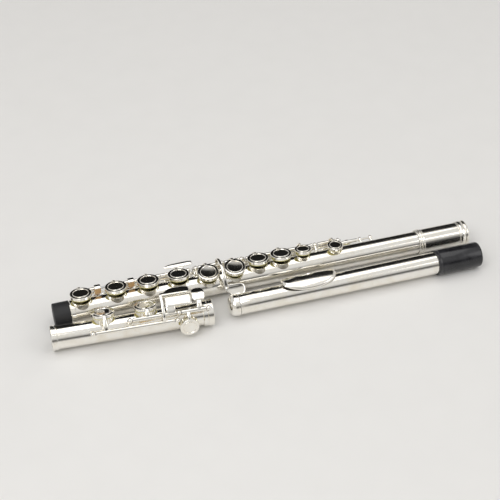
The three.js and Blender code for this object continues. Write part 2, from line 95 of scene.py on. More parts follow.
# ---- placing -------------------------------------------------------------------------------
def polar(radius, angle):
    """(y, z) at a radius and an angle round a tube."""
    return -radius * math.sin(math.radians(angle)), radius * math.cos(math.radians(angle))


def turned(point, angle):
    """A (y, z) point turned about the tube's axis."""
    c, s = math.cos(math.radians(angle)), math.sin(math.radians(angle))
    return point[0] * c - point[1] * s, point[0] * s + point[1] * c


def section(joint, local, roll=0.0):
    """Matrix from a section's own millimetres to the row frame, found from one of its joints."""
    axis = JOINTS[joint]["axis"]
    turn = Matrix.Rotation(math.atan2(axis[1], axis[0]), 4, "Z") @ Matrix.Rotation(math.radians(roll), 4, "X")
    origin = Vector(JOINTS[joint]["pos_m"]) - turn.to_3x3() @ (Vector(local) * MM)
    return Matrix.Translation(origin) @ turn @ Matrix.Scale(MM, 4)


def on_hinge(base, hinge, lift=0.0, turn=0.0):
    """Matrix for a key drawn closed with its cup facing up, then lifted about its hinge line."""
    y, z = hinge
    return (base @ Matrix.Rotation(math.radians(turn), 4, "X") @ Matrix.Translation((0, y, z))
            @ Matrix.Rotation(math.radians(lift), 4, "X") @ Matrix.Translation((0, -y, -z)))


TRILL = polar(TRILL_RADIUS, TRILL_ROD)
THUMB = polar(THUMB_RADIUS, THUMB_ROD)
OUTER = polar(FOOT_OUTER_RADIUS, FOOT_OUTER_ROD)
BODY = section("d_key_hinge", (0, *ROD), -2)
HEAD = section("crown_turn", (4, 0, 0))
FOOT = section("c_foot_hinge", (C_FOOT_X, *OUTER))


# ---- forms ---------------------------------------------------------------------------------
class Form:
    """Points and faces gathered into one mesh."""

    def __init__(self):
        self.points, self.faces = [], []

    def add(self, points, faces):
        start = len(self.points)
        self.points += [tuple(p) for p in points]
        self.faces += [tuple(start + i for i in face) for face in faces]
        return self

    def join(self, *forms):
        for form in forms:
            self.add(form.points, form.faces)
        return self


def loft(rings, closed=False):
    """Skin over rings of equal length; open ends get a flat cap."""
    n, points, faces = len(rings[0]), [p for ring in rings for p in ring], []
    spans = len(rings) if closed else len(rings) - 1
    for i in range(spans):
        a, b = i * n, (i + 1) % len(rings) * n
        faces += [(a + j, a + (j + 1) % n, b + (j + 1) % n, b + j) for j in range(n)]
    if not closed:
        faces += [tuple(range(n))[::-1], tuple(range(len(points) - n, len(points)))]
    return Form().add(points, faces)


def ring_x(radius, x, y, z, n):
    return [(x, y + radius * math.cos(2 * math.pi * i / n), z + radius * math.sin(2 * math.pi * i / n))
            for i in range(n)]


def lathe_x(profile, y=0.0, z=0.0, n=48):
    """Solid of revolution along X; profile is (radius, x)."""
    closed = profile[0] == profile[-1]
    rings = [ring_x(max(r, 1e-4), x, y, z, n) for r, x in (profile[:-1] if closed else profile)]
    return loft(rings, closed)


def lathe_out(profile, x, angle=0.0, n=48, stretch=1.0):
    """Solid of revolution about the direction at an angle round the tube; profile is (radius, height)."""
    closed = profile[0] == profile[-1]
    rings = []
    for r, h in (profile[:-1] if closed else profile):
        ring = []
        for i in range(n):
            a = 2 * math.pi * i / n
            side, (uy, uz) = max(r, 1e-4) * math.sin(a), polar(1, angle)
            ring.append((x + stretch * max(r, 1e-4) * math.cos(a), h * uy + side * uz, h * uz - side * uy))
        rings.append(ring)
    return loft(rings, closed)


def smooth_path(points, steps):
    """Catmull-Rom curve through the points."""
    ends = [points[0], *points, points[-1]]
    out = []
    for i in range(1, len(ends) - 2):
        p0, p1, p2, p3 = ends[i - 1:i + 3]
        for k in range(steps):
            t = k / steps
            out.append(tuple(0.5 * (2 * b + (c - a) * t + (2 * a - 5 * b + 4 * c - d) * t * t
                                    + (3 * b - a - 3 * c + d) * t ** 3) for a, b, c,
                             d in zip(p0, p1, p2, p3)))
    return out + [tuple(points[-1])]


def squared(value, power):
    """Sine or cosine swollen towards a square."""
    return math.copysign(abs(value) ** (2 / power), value)


def bar(stations):
    """Rounded strap along stations of (x, y, z, width, thickness); the path lies across the tube."""
    path, n, power = smooth_path(stations, 6), 16, 3.0
    rings = []
    for i, (x, y, z, wide, thick) in enumerate(path):
        before, after = path[max(i - 1, 0)], path[min(i + 1, len(path) - 1)]
        along = Vector([after[k] - before[k] for k in range(3)]).normalized()
        wide_axis = (Vector((1, 0, 0)) - along * along.x).normalized()
        thick_axis = along.cross(wide_axis)
        ring = []
        for k in range(n):
            a = 2 * math.pi * k / n
            u, v = wide / 2 * squared(math.cos(a), power), thick / 2 * squared(math.sin(a), power)
            ring.append(Vector((x, y, z)) + wide_axis * u + thick_axis * v)
        rings.append(ring)
    return loft(rings)


def on_line(x, *stations):
    """Strap straight across the tube at x, through (y, z, width, thickness)."""
    return bar([(x, *station) for station in stations])


def leaf(outline, surface, thick, n=56):
    """Thin plate with a rounded edge: outline in (x, s), surface gives a point and its normal."""
    ring2d = smooth_path([*outline, outline[0]], max(2, n // len(outline)))[:-1]
    cx = sum(p[0] for p in ring2d) / len(ring2d)
    cs = sum(p[1] for p in ring2d) / len(ring2d)
    shares = (0.02, 0.35, 0.65, 0.85, 0.94, 0.985, 1.0)
    rings = []
    for side in (1, -1):
        order = shares if side > 0 else shares[-2::-1]
        for share in order:
            edge = max(0.0, (share - 0.85) / 0.15)
            half = thick / 2 * math.sqrt(max(0.0, 1 - edge * edge))
            ring = []
            for x, s in ring2d:
                point, normal = surface(cx + (x - cx) * share, cs + (s - cs) * share)
                ring.append(Vector(point) + Vector(normal) * (side * half))
            rings.append(ring)
    return loft(rings)


def raised(hinge, angle, *forms):
    """Joins forms and turns them about a hinge line along X."""
    out = Form().join(*forms)
    out.points = [(x, *(h + v for h, v in zip(hinge, turned((y - hinge[0], z - hinge[1]), angle))))
                  for x, y, z in out.points]
    return out


def slope(a, b, curve=0.0):
    """Surface for leaf: the line from a to b across the tube, bowed by curve."""
    along = Vector((0, b[0] - a[0], b[1] - a[1]))
    length = along.length
    along.normalize()
    normal = Vector((1, 0, 0)).cross(along)

    def surface(x, s):
        t = s / length
        bow = curve * 4 * t * (1 - t)
        lean = (normal - along * (curve * 4 * (1 - 2 * t) / length)).normalized()
        return Vector((x, a[0], a[1])) + along * s + normal * bow, lean
    return surface


def rounded(x0, x1, s0, s1, corner=0.8):
    """Rounded rectangle outline for leaf."""
    c = corner
    return [(x0 + c, s0), ((x0 + x1) / 2, s0), (x1 - c, s0), (x1 - 0.3 * c, s0 + 0.3 * c), (x1, s0 + c),
            (x1, (s0 + s1) / 2), (x1, s1 - c), (x1 - 0.3 * c, s1 - 0.3 * c), (x1 - c, s1),
            ((x0 + x1) / 2, s1),
            (x0 + c, s1), (x0 + 0.3 * c, s1 - 0.3 * c), (x0, s1 - c), (x0, (s0 + s1) / 2), (x0, s0 + c),
            (x0 + 0.3 * c, s0 + 0.3 * c)]


def ellipse(x, s, hx, hs, power, n=20):
    turns = [2 * math.pi * i / n for i in range(n)]
    return [(x + hx * squared(math.cos(a), power), s + hs * squared(math.sin(a), power)) for a in turns]


def arc_strap(x0, x1, a0, a1, r0=STRAP_IN, r1=STRAP_OUT):
    """Strap hugging the tube between two angles and two radii."""
    angles = [a0 + (a1 - a0) * i / 10 for i in range(11)]
    outline = [polar(r0, a) for a in angles] + [polar(r1, a) for a in reversed(angles)]
    return loft([[(x, y, z) for y, z in outline] for x in (x0, x1)])


# ---- making pieces -------------------------------------------------------------------------
def mesh_of(name, form, matrix=None):
    """Mesh from a form: doubles merged, faces outwards, set in the row frame."""
    mesh = bpy.data.meshes.new(name)
    mesh.from_pydata(form.points, [], form.faces)
    work = bmesh.new()
    work.from_mesh(mesh)
    bmesh.ops.remove_doubles(work, verts=work.verts, dist=0.0008)
    bmesh.ops.dissolve_degenerate(work, edges=work.edges, dist=0.0004)
    bmesh.ops.recalc_face_normals(work, faces=work.faces)
    work.to_mesh(mesh)
    work.free()
    if matrix is not None:
        mesh.transform(matrix)
    return mesh


def shade(mesh, angle=SHARP):
    mesh.shade_smooth()
    mesh.set_sharp_from_angle(angle=math.radians(angle))


def settle(piece, material, body, nodes=(), bevel=0.0):
    """Gives a piece its finish, an edge break, its body and the nodes it stands for."""
    piece.data.materials.clear()
    piece.data.materials.append(material)
    if bevel:
        edge = piece.modifiers.new("Edge break", "BEVEL")
        edge.width, edge.segments, edge.limit_method = bevel * MM, 2, "ANGLE"
        edge.angle_limit = math.radians(38)
        edge.use_clamp_overlap = True
        edge.harden_normals = True
    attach(piece, body)
    if nodes:
        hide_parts(*nodes)
    return piece


def new_object(name, mesh):
    piece = bpy.data.objects.new(name, mesh)
    bpy.context.scene.collection.objects.link(piece)
    return piece


def make(name, form, matrix, material, body, nodes=(), bevel=0.0, angle=SHARP):
    mesh = mesh_of(name, form, matrix)
    shade(mesh, angle)
    return settle(new_object(name, mesh), material, body, nodes, bevel)


def make_key(name, form, matrix):
    """A key in polished plate on the body of its own name."""
    make(name, form, matrix, finish("keys"), name, [name])


def make_pad(name, form, matrix, body):
    make(name, form, matrix, finish("skin"), body, [name])


def carve(name, base, joins, cuts, matrix, body):
    """Plated piece: a base form with others joined on and cut away."""
    piece = new_object(name, mesh_of(name, base))
    helpers = []
    for kind, forms in (("UNION", joins), ("DIFFERENCE", cuts)):
        for i, form in enumerate(forms):
            helper = new_object(f"{name}-{kind.lower()}-{i}", mesh_of("tool", form))
            helpers.append(helper)
            step = piece.modifiers.new(f"{kind} {i}", "BOOLEAN")
            step.operation, step.object, step.solver = kind, helper, "MANIFOLD"
    graph = bpy.context.evaluated_depsgraph_get()
    graph.update()
    mesh = bpy.data.meshes.new_from_object(piece.evaluated_get(graph))
    piece.modifiers.clear()
    piece.data = mesh
    for helper in helpers:
        bpy.data.objects.remove(helper)
    mesh.transform(matrix)
    shade(mesh, 28)
    return settle(piece, finish("plate"), body, [name])


# ---- node trees ----------------------------------------------------------------------------
def tree_with(name, inputs):
    """Geometry node tree with named inputs: (name, socket type, default)."""
    tree = bpy.data.node_groups.new(name, "GeometryNodeTree")
    tree.interface.new_socket("Geometry", in_out="INPUT", socket_type="NodeSocketGeometry")
    for label, kind, value in inputs:
        socket = tree.interface.new_socket(label, in_out="INPUT", socket_type=kind)
        if value is not None:
            socket.default_value = value
    tree.interface.new_socket("Geometry", in_out="OUTPUT", socket_type="NodeSocketGeometry")
    return tree


def add_node(tree, kind, links=None, **settings):
    node = tree.nodes.new(kind)
    for key, value in settings.items():
        setattr(node, key, value)
    for socket, source in (links or {}).items():
        target = node.inputs[socket]
        if isinstance(source, bpy.types.NodeSocket):
            tree.links.new(source, target)
        else:
            target.default_value = source
    return node


def finish_tree(tree, start, geometry, turn_about="X"):
    """Instances a shape on every point, turned by the point's lean, realises them and sets the material."""
    lean = add_node(tree, "GeometryNodeInputNamedAttribute", {"Name": "lean"}, data_type="FLOAT")
    turn = add_node(tree, "ShaderNodeCombineXYZ", {turn_about: lean.outputs[0]})
    spread = add_node(tree, "GeometryNodeInstanceOnPoints",
                      {"Points": start.outputs[0], "Instance": geometry, "Rotation": turn.outputs[0]})
    real = add_node(tree, "GeometryNodeRealizeInstances", {"Geometry": spread.outputs[0]})
    painted = add_node(tree, "GeometryNodeSetMaterial",
                       {"Geometry": real.outputs[0], "Material": start.outputs["Material"]})
    smooth = add_node(tree, "GeometryNodeSetShadeSmooth", {0: painted.outputs[0]})
    out = add_node(tree, "NodeGroupOutput")
    tree.links.new(smooth.outputs[0], out.inputs[0])


def post_tree():
    """Turned post: foot flange, waisted neck, a collar and a ball head."""
    tree = tree_with("Turned posts", [("Height", "NodeSocketFloat", 5.0), ("Neck", "NodeSocketFloat", 1.15),
                                      ("Head", "NodeSocketFloat", 2.1),
                                      ("Material", "NodeSocketMaterial", None)])
    start = add_node(tree, "NodeGroupInput")
    height, neck, head = start.outputs["Height"], start.outputs["Neck"], start.outputs["Head"]
    ball = add_node(tree, "GeometryNodeMeshUVSphere", {"Segments": 24, "Rings": 14, "Radius": head})
    stem = add_node(tree, "GeometryNodeMeshCone", {"Vertices": 24, "Side Segments": 3, "Radius Top": neck,
                                                   "Radius Bottom": 1.6, "Depth": height})
    minus = add_node(tree, "ShaderNodeMath", {0: height, 1: -1.0}, operation="MULTIPLY")
    down = add_node(tree, "ShaderNodeCombineXYZ", {"Z": minus.outputs[0]})
    stem_at = add_node(tree, "GeometryNodeTransform", {"Geometry": stem.outputs[0],
                                                       "Translation": down.outputs[0]})
    flange = add_node(tree, "GeometryNodeMeshCylinder", {"Vertices": 24, "Radius": 2.0, "Depth": 0.5})
    low = add_node(tree, "ShaderNodeMath", {0: minus.outputs[0], 1: 0.35}, operation="ADD")
    low_at = add_node(tree, "ShaderNodeCombineXYZ", {"Z": low.outputs[0]})
    flange_at = add_node(tree, "GeometryNodeTransform",
                         {"Geometry": flange.outputs[0], "Translation": low_at.outputs[0]})
    collar = add_node(tree, "GeometryNodeMeshCylinder", {"Vertices": 24, "Radius": 1.55, "Depth": 0.45})
    collar_at = add_node(tree, "GeometryNodeTransform",
                         {"Geometry": collar.outputs[0], "Translation": (0, 0, -1.95)})
    whole = add_node(tree, "GeometryNodeJoinGeometry")
    for part in (ball, stem_at, flange_at, collar_at):
        tree.links.new(part.outputs[0], whole.inputs[0])
    finish_tree(tree, start, whole.outputs[0])
    return tree


def screw_tree():
    """Slotted pivot screw seen on the outer face of an end post."""
    tree = tree_with("Slotted screws", [("Radius", "NodeSocketFloat", 1.05),
                                        ("Depth", "NodeSocketFloat", 0.5),
                                        ("Material", "NodeSocketMaterial", None)])
    start = add_node(tree, "NodeGroupInput")
    disc = add_node(tree, "GeometryNodeMeshCylinder",
                    {"Vertices": 20, "Radius": start.outputs["Radius"], "Depth": start.outputs["Depth"]})
    slit = add_node(tree, "GeometryNodeMeshCube", {"Size": (0.28, 3.0, 2.0)})
    cut = add_node(tree, "GeometryNodeMeshBoolean", operation="DIFFERENCE", solver="EXACT")
    lift = add_node(tree, "GeometryNodeTransform", {"Geometry": slit.outputs[0], "Translation": (0, 0, 1.05)})
    tree.links.new(disc.outputs[0], cut.inputs[0])
    tree.links.new(lift.outputs[0], cut.inputs[1])
    finish_tree(tree, start, cut.outputs[0], "Y")
    return tree


def spring_tree():
    """Needle spring: a long taper lying along the tube beside its hinge."""
    tree = tree_with("Needle springs", [("Length", "NodeSocketFloat", 12.0),
                                        ("Radius", "NodeSocketFloat", 0.26),
                                        ("Material", "NodeSocketMaterial", None)])
    start = add_node(tree, "NodeGroupInput")
    needle = add_node(tree, "GeometryNodeMeshCone", {"Vertices": 8, "Side Segments": 2, "Radius Top": 0.08,
                                                     "Radius Bottom": start.outputs["Radius"],
                                                     "Depth": start.outputs["Length"]})
    laid = add_node(tree, "GeometryNodeTransform",
                    {"Geometry": needle.outputs[0], "Rotation": (0, math.pi / 2, 0)})
    finish_tree(tree, start, laid.outputs[0])
    return tree


def grow(name, tree, points, matrix, material, values):
    """Plain mesh object in the row frame, from a node tree run on points of (x, y, z, lean)."""
    mesh = bpy.data.meshes.new(name)
    mesh.from_pydata([p[:3] for p in points], [], [])
    lean = mesh.attributes.new("lean", "FLOAT", "POINT")
    lean.data.foreach_set("value", [p[3] for p in points])
    piece = new_object(name, mesh)
    modifier = piece.modifiers.new("Repeat", "NODES")
    modifier.node_group = tree
    values = {"Material": material, **values}
    for item in tree.interface.items_tree:
        if item.in_out == "INPUT" and item.name in values:
            modifier[item.identifier] = values[item.name]
    graph = bpy.context.evaluated_depsgraph_get()
    graph.update()
    result = bpy.data.meshes.new_from_object(piece.evaluated_get(graph))
    piece.modifiers.clear()
    piece.data = result
    result.transform(matrix)
    if "lean" in result.attributes:
        result.attributes.remove(result.attributes["lean"])
    shade(result, 35)
    return piece


def merge(name, pieces):
    """One object from several of the same finish."""
    work = bmesh.new()
    for piece in pieces:
        work.from_mesh(piece.data)
        bpy.data.objects.remove(piece)
    mesh = bpy.data.meshes.new(name)
    work.to_mesh(mesh)
    work.free()
    shade(mesh)
    return new_object(name, mesh)


# ---- finishes ------------------------------------------------------------------------------
def shader_group(name, inputs, outputs):
    group = bpy.data.node_groups.new(name, "ShaderNodeTree")
    for label, kind, value in inputs:
        group.interface.new_socket(label, in_out="INPUT", socket_type=kind).default_value = value
    for label, kind in outputs:
        group.interface.new_socket(label, in_out="OUTPUT", socket_type=kind)
    return group, add_node(group, "NodeGroupInput"), add_node(group, "NodeGroupOutput")


def smudge_group():
    """Handling haze and fine wiping lines: a roughness, a height and a tint mask."""
    group, start, out = shader_group(
        "Handling haze",
        [("Clean", "NodeSocketFloat", 0.1), ("Haze", "NodeSocketFloat", 0.12),
         ("Size", "NodeSocketFloat", 90.0)],
        [("Roughness", "NodeSocketFloat"), ("Height", "NodeSocketFloat"), ("Mask", "NodeSocketFloat")])
    place = add_node(group, "ShaderNodeTexCoord")
    patches = add_node(group, "ShaderNodeTexNoise",
                       {"Vector": place.outputs["Object"], "Scale": start.outputs["Size"], "Detail": 5.0,
                        "Roughness": 0.6, "Distortion": 0.4})
    mask = add_node(group, "ShaderNodeMapRange", {"Value": patches.outputs["Fac"], "From Min": 0.42,
                                                  "From Max": 0.7, "To Min": 0.0, "To Max": 1.0})
    stretch = add_node(group, "ShaderNodeMapping", {"Vector": place.outputs["Object"],
                                                    "Scale": (240, 3200, 3200)})
    lines = add_node(group, "ShaderNodeTexNoise", {"Vector": stretch.outputs[0], "Scale": 1.0, "Detail": 3.0})
    haze = add_node(group, "ShaderNodeMath", {0: mask.outputs[0], 1: start.outputs["Haze"]},
                    operation="MULTIPLY")
    rough = add_node(group, "ShaderNodeMath", {0: haze.outputs[0], 1: start.outputs["Clean"]},
                     operation="ADD")
    fine = add_node(group, "ShaderNodeMath", {0: lines.outputs["Fac"], 1: 0.03, 2: rough.outputs[0]},
                    operation="MULTIPLY_ADD")
    group.links.new(fine.outputs[0], out.inputs["Roughness"])
    group.links.new(lines.outputs["Fac"], out.inputs["Height"])
    group.links.new(mask.outputs[0], out.inputs["Mask"])
    return group


def grain_group():
    """Granules in two sizes for cork and skin: a colour mask and a height."""
    group, start, out = shader_group(
        "Fine grain", [("Size", "NodeSocketFloat", 900.0), ("Contrast", "NodeSocketFloat", 0.5)],
        [("Mask", "NodeSocketFloat"), ("Height", "NodeSocketFloat")])
    place = add_node(group, "ShaderNodeTexCoord")
    cells = add_node(group, "ShaderNodeTexVoronoi",
                     {"Vector": place.outputs["Object"], "Scale": start.outputs["Size"], "Randomness": 1.0})
    soft = add_node(group, "ShaderNodeTexNoise",
                    {"Vector": place.outputs["Object"], "Scale": start.outputs["Size"], "Detail": 6.0})
    both = add_node(group, "ShaderNodeMath", {0: cells.outputs["Distance"], 1: soft.outputs["Fac"]},
                    operation="MULTIPLY")
    mask = add_node(group, "ShaderNodeMath", {0: both.outputs[0], 1: start.outputs["Contrast"]},
                    operation="MULTIPLY")
    group.links.new(mask.outputs[0], out.inputs["Mask"])
    group.links.new(soft.outputs["Fac"], out.inputs["Height"])
    return group


GROUPS = {}


def shared(name):
    if name not in GROUPS:
        GROUPS[name] = {"haze": smudge_group, "grain": grain_group}[name]()
    return GROUPS[name]


def blank_material(name):
    material = bpy.data.materials.new(name)
    material.use_nodes = True
    return material, material.node_tree, material.node_tree.nodes["Principled BSDF"]


def relieve(tree, shader, pattern, depth, strength):
    """Fine relief from a pattern group's height."""
    relief = add_node(tree, "ShaderNodeBump",
                      {"Height": pattern.outputs["Height"], "Distance": depth, "Strength": strength})
    tree.links.new(relief.outputs[0], shader.inputs["Normal"])


def mixed(tree, factor, a, b):
    """Colour between a and b, each a colour or a socket."""
    node = add_node(tree, "ShaderNodeMix", data_type="RGBA")
    sockets = {socket.identifier: socket for socket in node.inputs}
    tree.links.new(factor, sockets["Factor_Float"])
    for key, value in (("A_Color", a), ("B_Color", b)):
        if isinstance(value, bpy.types.NodeSocket):
            tree.links.new(value, sockets[key])
        else:
            sockets[key].default_value = (*value, 1)
    return next(s for s in node.outputs if s.identifier == "Result_Color")


def smooth(name, color, tint, clean, haze, bump, metallic=1.0):
    """Plated metal, or plastic with no metal in it, with handling haze and wiping lines."""
    material, tree, shader = blank_material(name)
    marks = add_node(tree, "ShaderNodeGroup", node_tree=shared("haze"))
    marks.inputs["Clean"].default_value = clean
    marks.inputs["Haze"].default_value = haze
    shader.inputs["Metallic"].default_value = metallic
    tree.links.new(mixed(tree, marks.outputs["Mask"], color, tint), shader.inputs["Base Color"])
    tree.links.new(marks.outputs["Roughness"], shader.inputs["Roughness"])
    relieve(tree, shader, marks, 0.00002, bump)
    return material


def grained(name, color, dark, size, contrast, roughness, bump, sheen=0.0):
    material, tree, shader = blank_material(name)
    grain = add_node(tree, "ShaderNodeGroup", node_tree=shared("grain"))
    grain.inputs["Size"].default_value = size
    grain.inputs["Contrast"].default_value = contrast
    tree.links.new(mixed(tree, grain.outputs["Mask"], color, dark), shader.inputs["Base Color"])
    shader.inputs["Roughness"].default_value = roughness
    shader.inputs["Sheen Weight"].default_value = sheen
    relieve(tree, shader, grain, 0.0001, bump)
    return material


FINISHES = {}


def finish(name):
    """Material by its maker's name, built on first use."""
    if name not in FINISHES:
        looks = bpy.context.scene.flute_looks
        plate, warm = tuple(looks.plate), tuple(c * f for c, f in zip(looks.plate, (0.93, 0.9, 0.84)))
        make_finish, *values = {
            "plate": (smooth, "Silver plate", plate, warm, 0.10, 0.10, 0.10),
            "keys": (smooth, "Polished key plate", plate, warm, 0.05, 0.06, 0.04),
            "steel": (smooth, "Drawn steel", (0.62, 0.63, 0.65), (0.5, 0.5, 0.52), 0.22, 0.1, 0.3),
            "spring": (smooth, "Spring wire", (0.85, 0.62, 0.3), (0.6, 0.42, 0.2), 0.2, 0.1, 0.1),
            "skin": (grained, "Pad skin", looks.skin, (0.6, 0.5, 0.2), 500, 0.7, 0.55, 0.25, 0.2),
            "cork": (grained, "Sheet cork", looks.cork, (0.3, 0.16, 0.06), 1100, 1.0, 0.85, 0.8),
            "cap": (smooth, "Black cap", (0.012, 0.012, 0.014), (0.03, 0.03, 0.034), 0.12, 0.14, 0.05, 0.0),
            "dark_cap": (smooth, "Dull black cap", (0.01, 0.01, 0.012), (0.02, 0.02, 0.02), 0.55, 0.2, 0.3,
                         0.0),
            "floor": (grained, "Studio floor", (0.80, 0.79, 0.77), (0.74, 0.73, 0.71), 40, 0.4, 0.6, 0.02),
        }[name]
        FINISHES[name] = make_finish(*values)
    return FINISHES[name]


# ---- shared shapes of the keys -------------------------------------------------------------
def cup_form(x, r):
    """Closed-hole cup with a dished centre, a raised ring and a rolled rim."""
    k = r / CUP_R
    dish = [(0, 15.42), (1.6, 15.436), (3.2, 15.482), (4.8, 15.56), (6.28, 15.66), (6.30, 15.98),
            (6.42, 16.12),
            (6.62, 16.15), (6.80, 16.06), (6.88, 15.90), (6.90, 15.66), (7.6, 15.66)]
    rim = [(-0.42, 15.64), (-0.2, 15.55), (-0.05, 15.35), (0, 15.05), (0, 13.6), (0.06, 13.42), (0.03, 13.2),
           (-0.15, 13.1), (-0.5, 13.12), (-0.62, 13.3), (-0.65, 14.1)]
    return lathe_out([*[(at * k, h) for at, h in dish], *[(r + at, h) for at, h in rim], (0, 14.1)], x, 0, 64)


def low_cup_form(x, r, angle):
    """Plain shallow cup for the keys that sit low on the tube."""
    return lathe_out([(0, 15.0), (r * 0.5, 14.98), (r * 0.62, 15.16), (r * 0.74, 15.0), (r - 0.7, 14.95),
                      (r - 0.15, 14.7), (r, 14.3), (r, 13.5), (r + 0.05, 13.35), (r + 0.02, 13.18),
                      (r - 0.3, 13.1), (r - 0.62, 13.2), (r - 0.65, 14.1), (0, 14.1)], x, angle)


def pad_form(x, r, angle=0.0):
    """Felt pad in its skin: full edge, a seat pressed by the tone hole, a washer hollow."""
    return lathe_out([(0, 12.3), (r * 0.25, 12.28), (r * 0.4, 12.08), (r * 0.62, 12.02), (r * 0.7, 12.12),
                      (r * 0.8, 12.14), (r - 1.2, 12.02), (r - 0.6, 12.1), (r - 0.3, 12.35), (r - 0.22, 12.7),
                      (r - 0.32, 12.98), (r - 0.8, 13.05), (r - 0.84, 13.85), (0, 13.85)], x, angle)


def washer_form(x):
    return lathe_out([(0, 11.95), (0.8, 11.95), (1.0, 12.08), (1.9, 12.1), (2.1, 12.2), (2.1, 12.5),
                      (0, 12.5)],
                     x, n=24)


def tube_form(x0, x1, y=ROD[0], z=ROD[1], r=1.9, bore=1.2, n=28):
    """Hinge tube with a small collar at each end."""
    c = min(0.9, (x1 - x0) / 5)
    return lathe_x([(r - 0.15, x0), (r, x0 + 0.15), (r, x0 + c), (r - 0.14, x0 + c + 0.12),
                    (r - 0.14, x1 - c - 0.12), (r, x1 - c), (r, x1 - 0.15), (r - 0.15, x1), (bore, x1),
                    (bore, x0),
                    (r - 0.15, x0)], y, z, n)


def arm_form(x, side=1, wide=4.2):
    """Pointed arm from the hinge tube over the back of the cup to its raised ring."""
    return bar([(x, side * 12.5, 10.4, wide, 2.4), (x, side * 12.5, 12.0, wide - 0.2, 1.8),
                (x, side * 11.3, 14.1, wide - 0.6, 1.5), (x, side * 9.5, 15.6, wide - 1.2, 1.2),
                (x, side * 7.9, 16.2, wide - 2.2, 0.9), (x, side * 6.4, 16.35, 0.7, 0.5)])


def key_form(x, r, x0, x1, side=1):
    return Form().join(cup_form(x, r), arm_form(x, side, 4.2 if r > 8 else 3.4),
                       tube_form(x0, x1, side * ROD[0], ROD[1]), washer_form(x))


# ---- settings ------------------------------------------------------------------------------
class FluteSizes(bpy.types.PropertyGroup):
    wall: FloatProperty(name="Tube wall", description="Wall of the body, foot and head tubes, in millimetres",
                        default=0.8, min=0.3, max=1.2)
    screw: FloatProperty(name="Screw head", description="Radius of the pivot screw heads, in millimetres",
                         default=1.0, min=0.5, max=1.4)
    spring: FloatProperty(name="Needle spring", description="Radius of the needle springs, in millimetres",
                          default=0.26, min=0.1, max=0.5)


class FluteLooks(bpy.types.PropertyGroup):
    plate: FloatVectorProperty(name="Silver plate", description="Colour of the plated tubes and keys",
                               subtype="COLOR", size=3, default=(0.94, 0.92, 0.87), min=0, max=1)
    skin: FloatVectorProperty(name="Pad skin", description="Colour of the bladder skin on the pads",
                              subtype="COLOR", size=3, default=(0.76, 0.71, 0.30), min=0, max=1)
    cork: FloatVectorProperty(name="Cork", description="Colour of the cork bumpers",
                              subtype="COLOR", size=3, default=(0.66, 0.42, 0.20), min=0, max=1)


# ---- operators -----------------------------------------------------------------------------
class FLUTE_OT_stage(bpy.types.Operator):
    """Lay the pale floor, set the soft lights and stand the camera in front"""
    bl_idname = "flute.stage"
    bl_label = "Studio stage"

    def execute(self, context):
        corners = [(x * FLOOR_SIZE, y * FLOOR_SIZE, -FLOOR_DROP)
                   for x, y in ((-1, -1), (1, -1), (1, 1), (-1, 1))]
        floor = new_object("studio_floor", mesh_of("studio_floor", Form().add(corners, [(0, 1, 2, 3)])))
        floor.data.materials.append(finish("floor"))
        aim = HEAD.to_translation() + Vector((0.039, 0.0643, 0.00065))
        for name, at, size, power in SOFTBOXES:
            light = bpy.data.lights.new(name, "AREA")
            light.shape, light.size, light.energy, light.spread = "SQUARE", size, power, math.radians(160)
            lamp = bpy.data.objects.new(name, light)
            context.scene.collection.objects.link(lamp)
            lamp.location = at
            lamp.rotation_euler = (aim - Vector(at)).to_track_quat("-Z", "Y").to_euler()
            lamp.visible_camera = False
        self.surroundings(context)
        heading, pitch = math.radians(HEADING), math.radians(PITCH)
        lens = bpy.data.cameras.new("camera")
        lens.lens, lens.sensor_width = LENS, SENSOR
        camera = bpy.data.objects.new("camera", lens)
        context.scene.collection.objects.link(camera)
        level = math.cos(pitch)
        forward = Vector((math.sin(heading) * level, math.cos(heading) * level, -math.sin(pitch)))
        camera.location = aim - forward * DISTANCE
        camera.rotation_euler = forward.to_track_quat("-Z", "Y").to_euler()
        context.scene.camera = camera
        context.scene.view_settings.view_transform = "Standard"
        return {"FINISHED"}

    def surroundings(self, context):
        """Pale studio, dark low behind the object and pale past its ends, which polished metal mirrors."""
        world = bpy.data.worlds.new("Studio")
        context.scene.world = world
        world.use_nodes = True
        tree = world.node_tree
        ground = tree.nodes["Background"]
        place = add_node(tree, "ShaderNodeTexCoord")
        split = add_node(tree, "ShaderNodeSeparateXYZ", {"Vector": place.outputs["Generated"]})
        behind, front = (self.ramp(tree, split.outputs["Z"], stops) for stops in (BEHIND, IN_FRONT))
        side = add_node(tree, "ShaderNodeMapRange",
                        {"Value": split.outputs["Y"], "From Min": -0.15, "From Max": 0.35})
        away = add_node(tree, "ShaderNodeMath", {0: split.outputs["X"], 1: 0.15}, operation="SUBTRACT")
        off = add_node(tree, "ShaderNodeMath", {0: away.outputs[0]}, operation="ABSOLUTE")
        ends = add_node(tree, "ShaderNodeMapRange", {"Value": off.outputs[0], "From Min": 0.27,
                                                     "From Max": 0.45})
        seen = add_node(tree, "ShaderNodeLightPath")
        level = mixed(tree, side.outputs[0], front, behind)
        mirrored = mixed(tree, ends.outputs[0], level, (0.85, 0.84, 0.83))
        plain = mixed(tree, seen.outputs["Is Camera Ray"], mirrored, (0.8, 0.79, 0.78))
        tree.links.new(plain, ground.inputs["Color"])
        ground.inputs["Strength"].default_value = 0.76

    @staticmethod
    def ramp(tree, height, stops):
        node = add_node(tree, "ShaderNodeValToRGB", {"Fac": height})
        elements = node.color_ramp.elements
        while len(elements) < len(stops):
            elements.new(0.5)
        for element, (at, value) in zip(elements, stops):
            element.position = at
            element.color = (value, value * 0.99, value * 0.97, 1)
        return node.outputs["Color"]


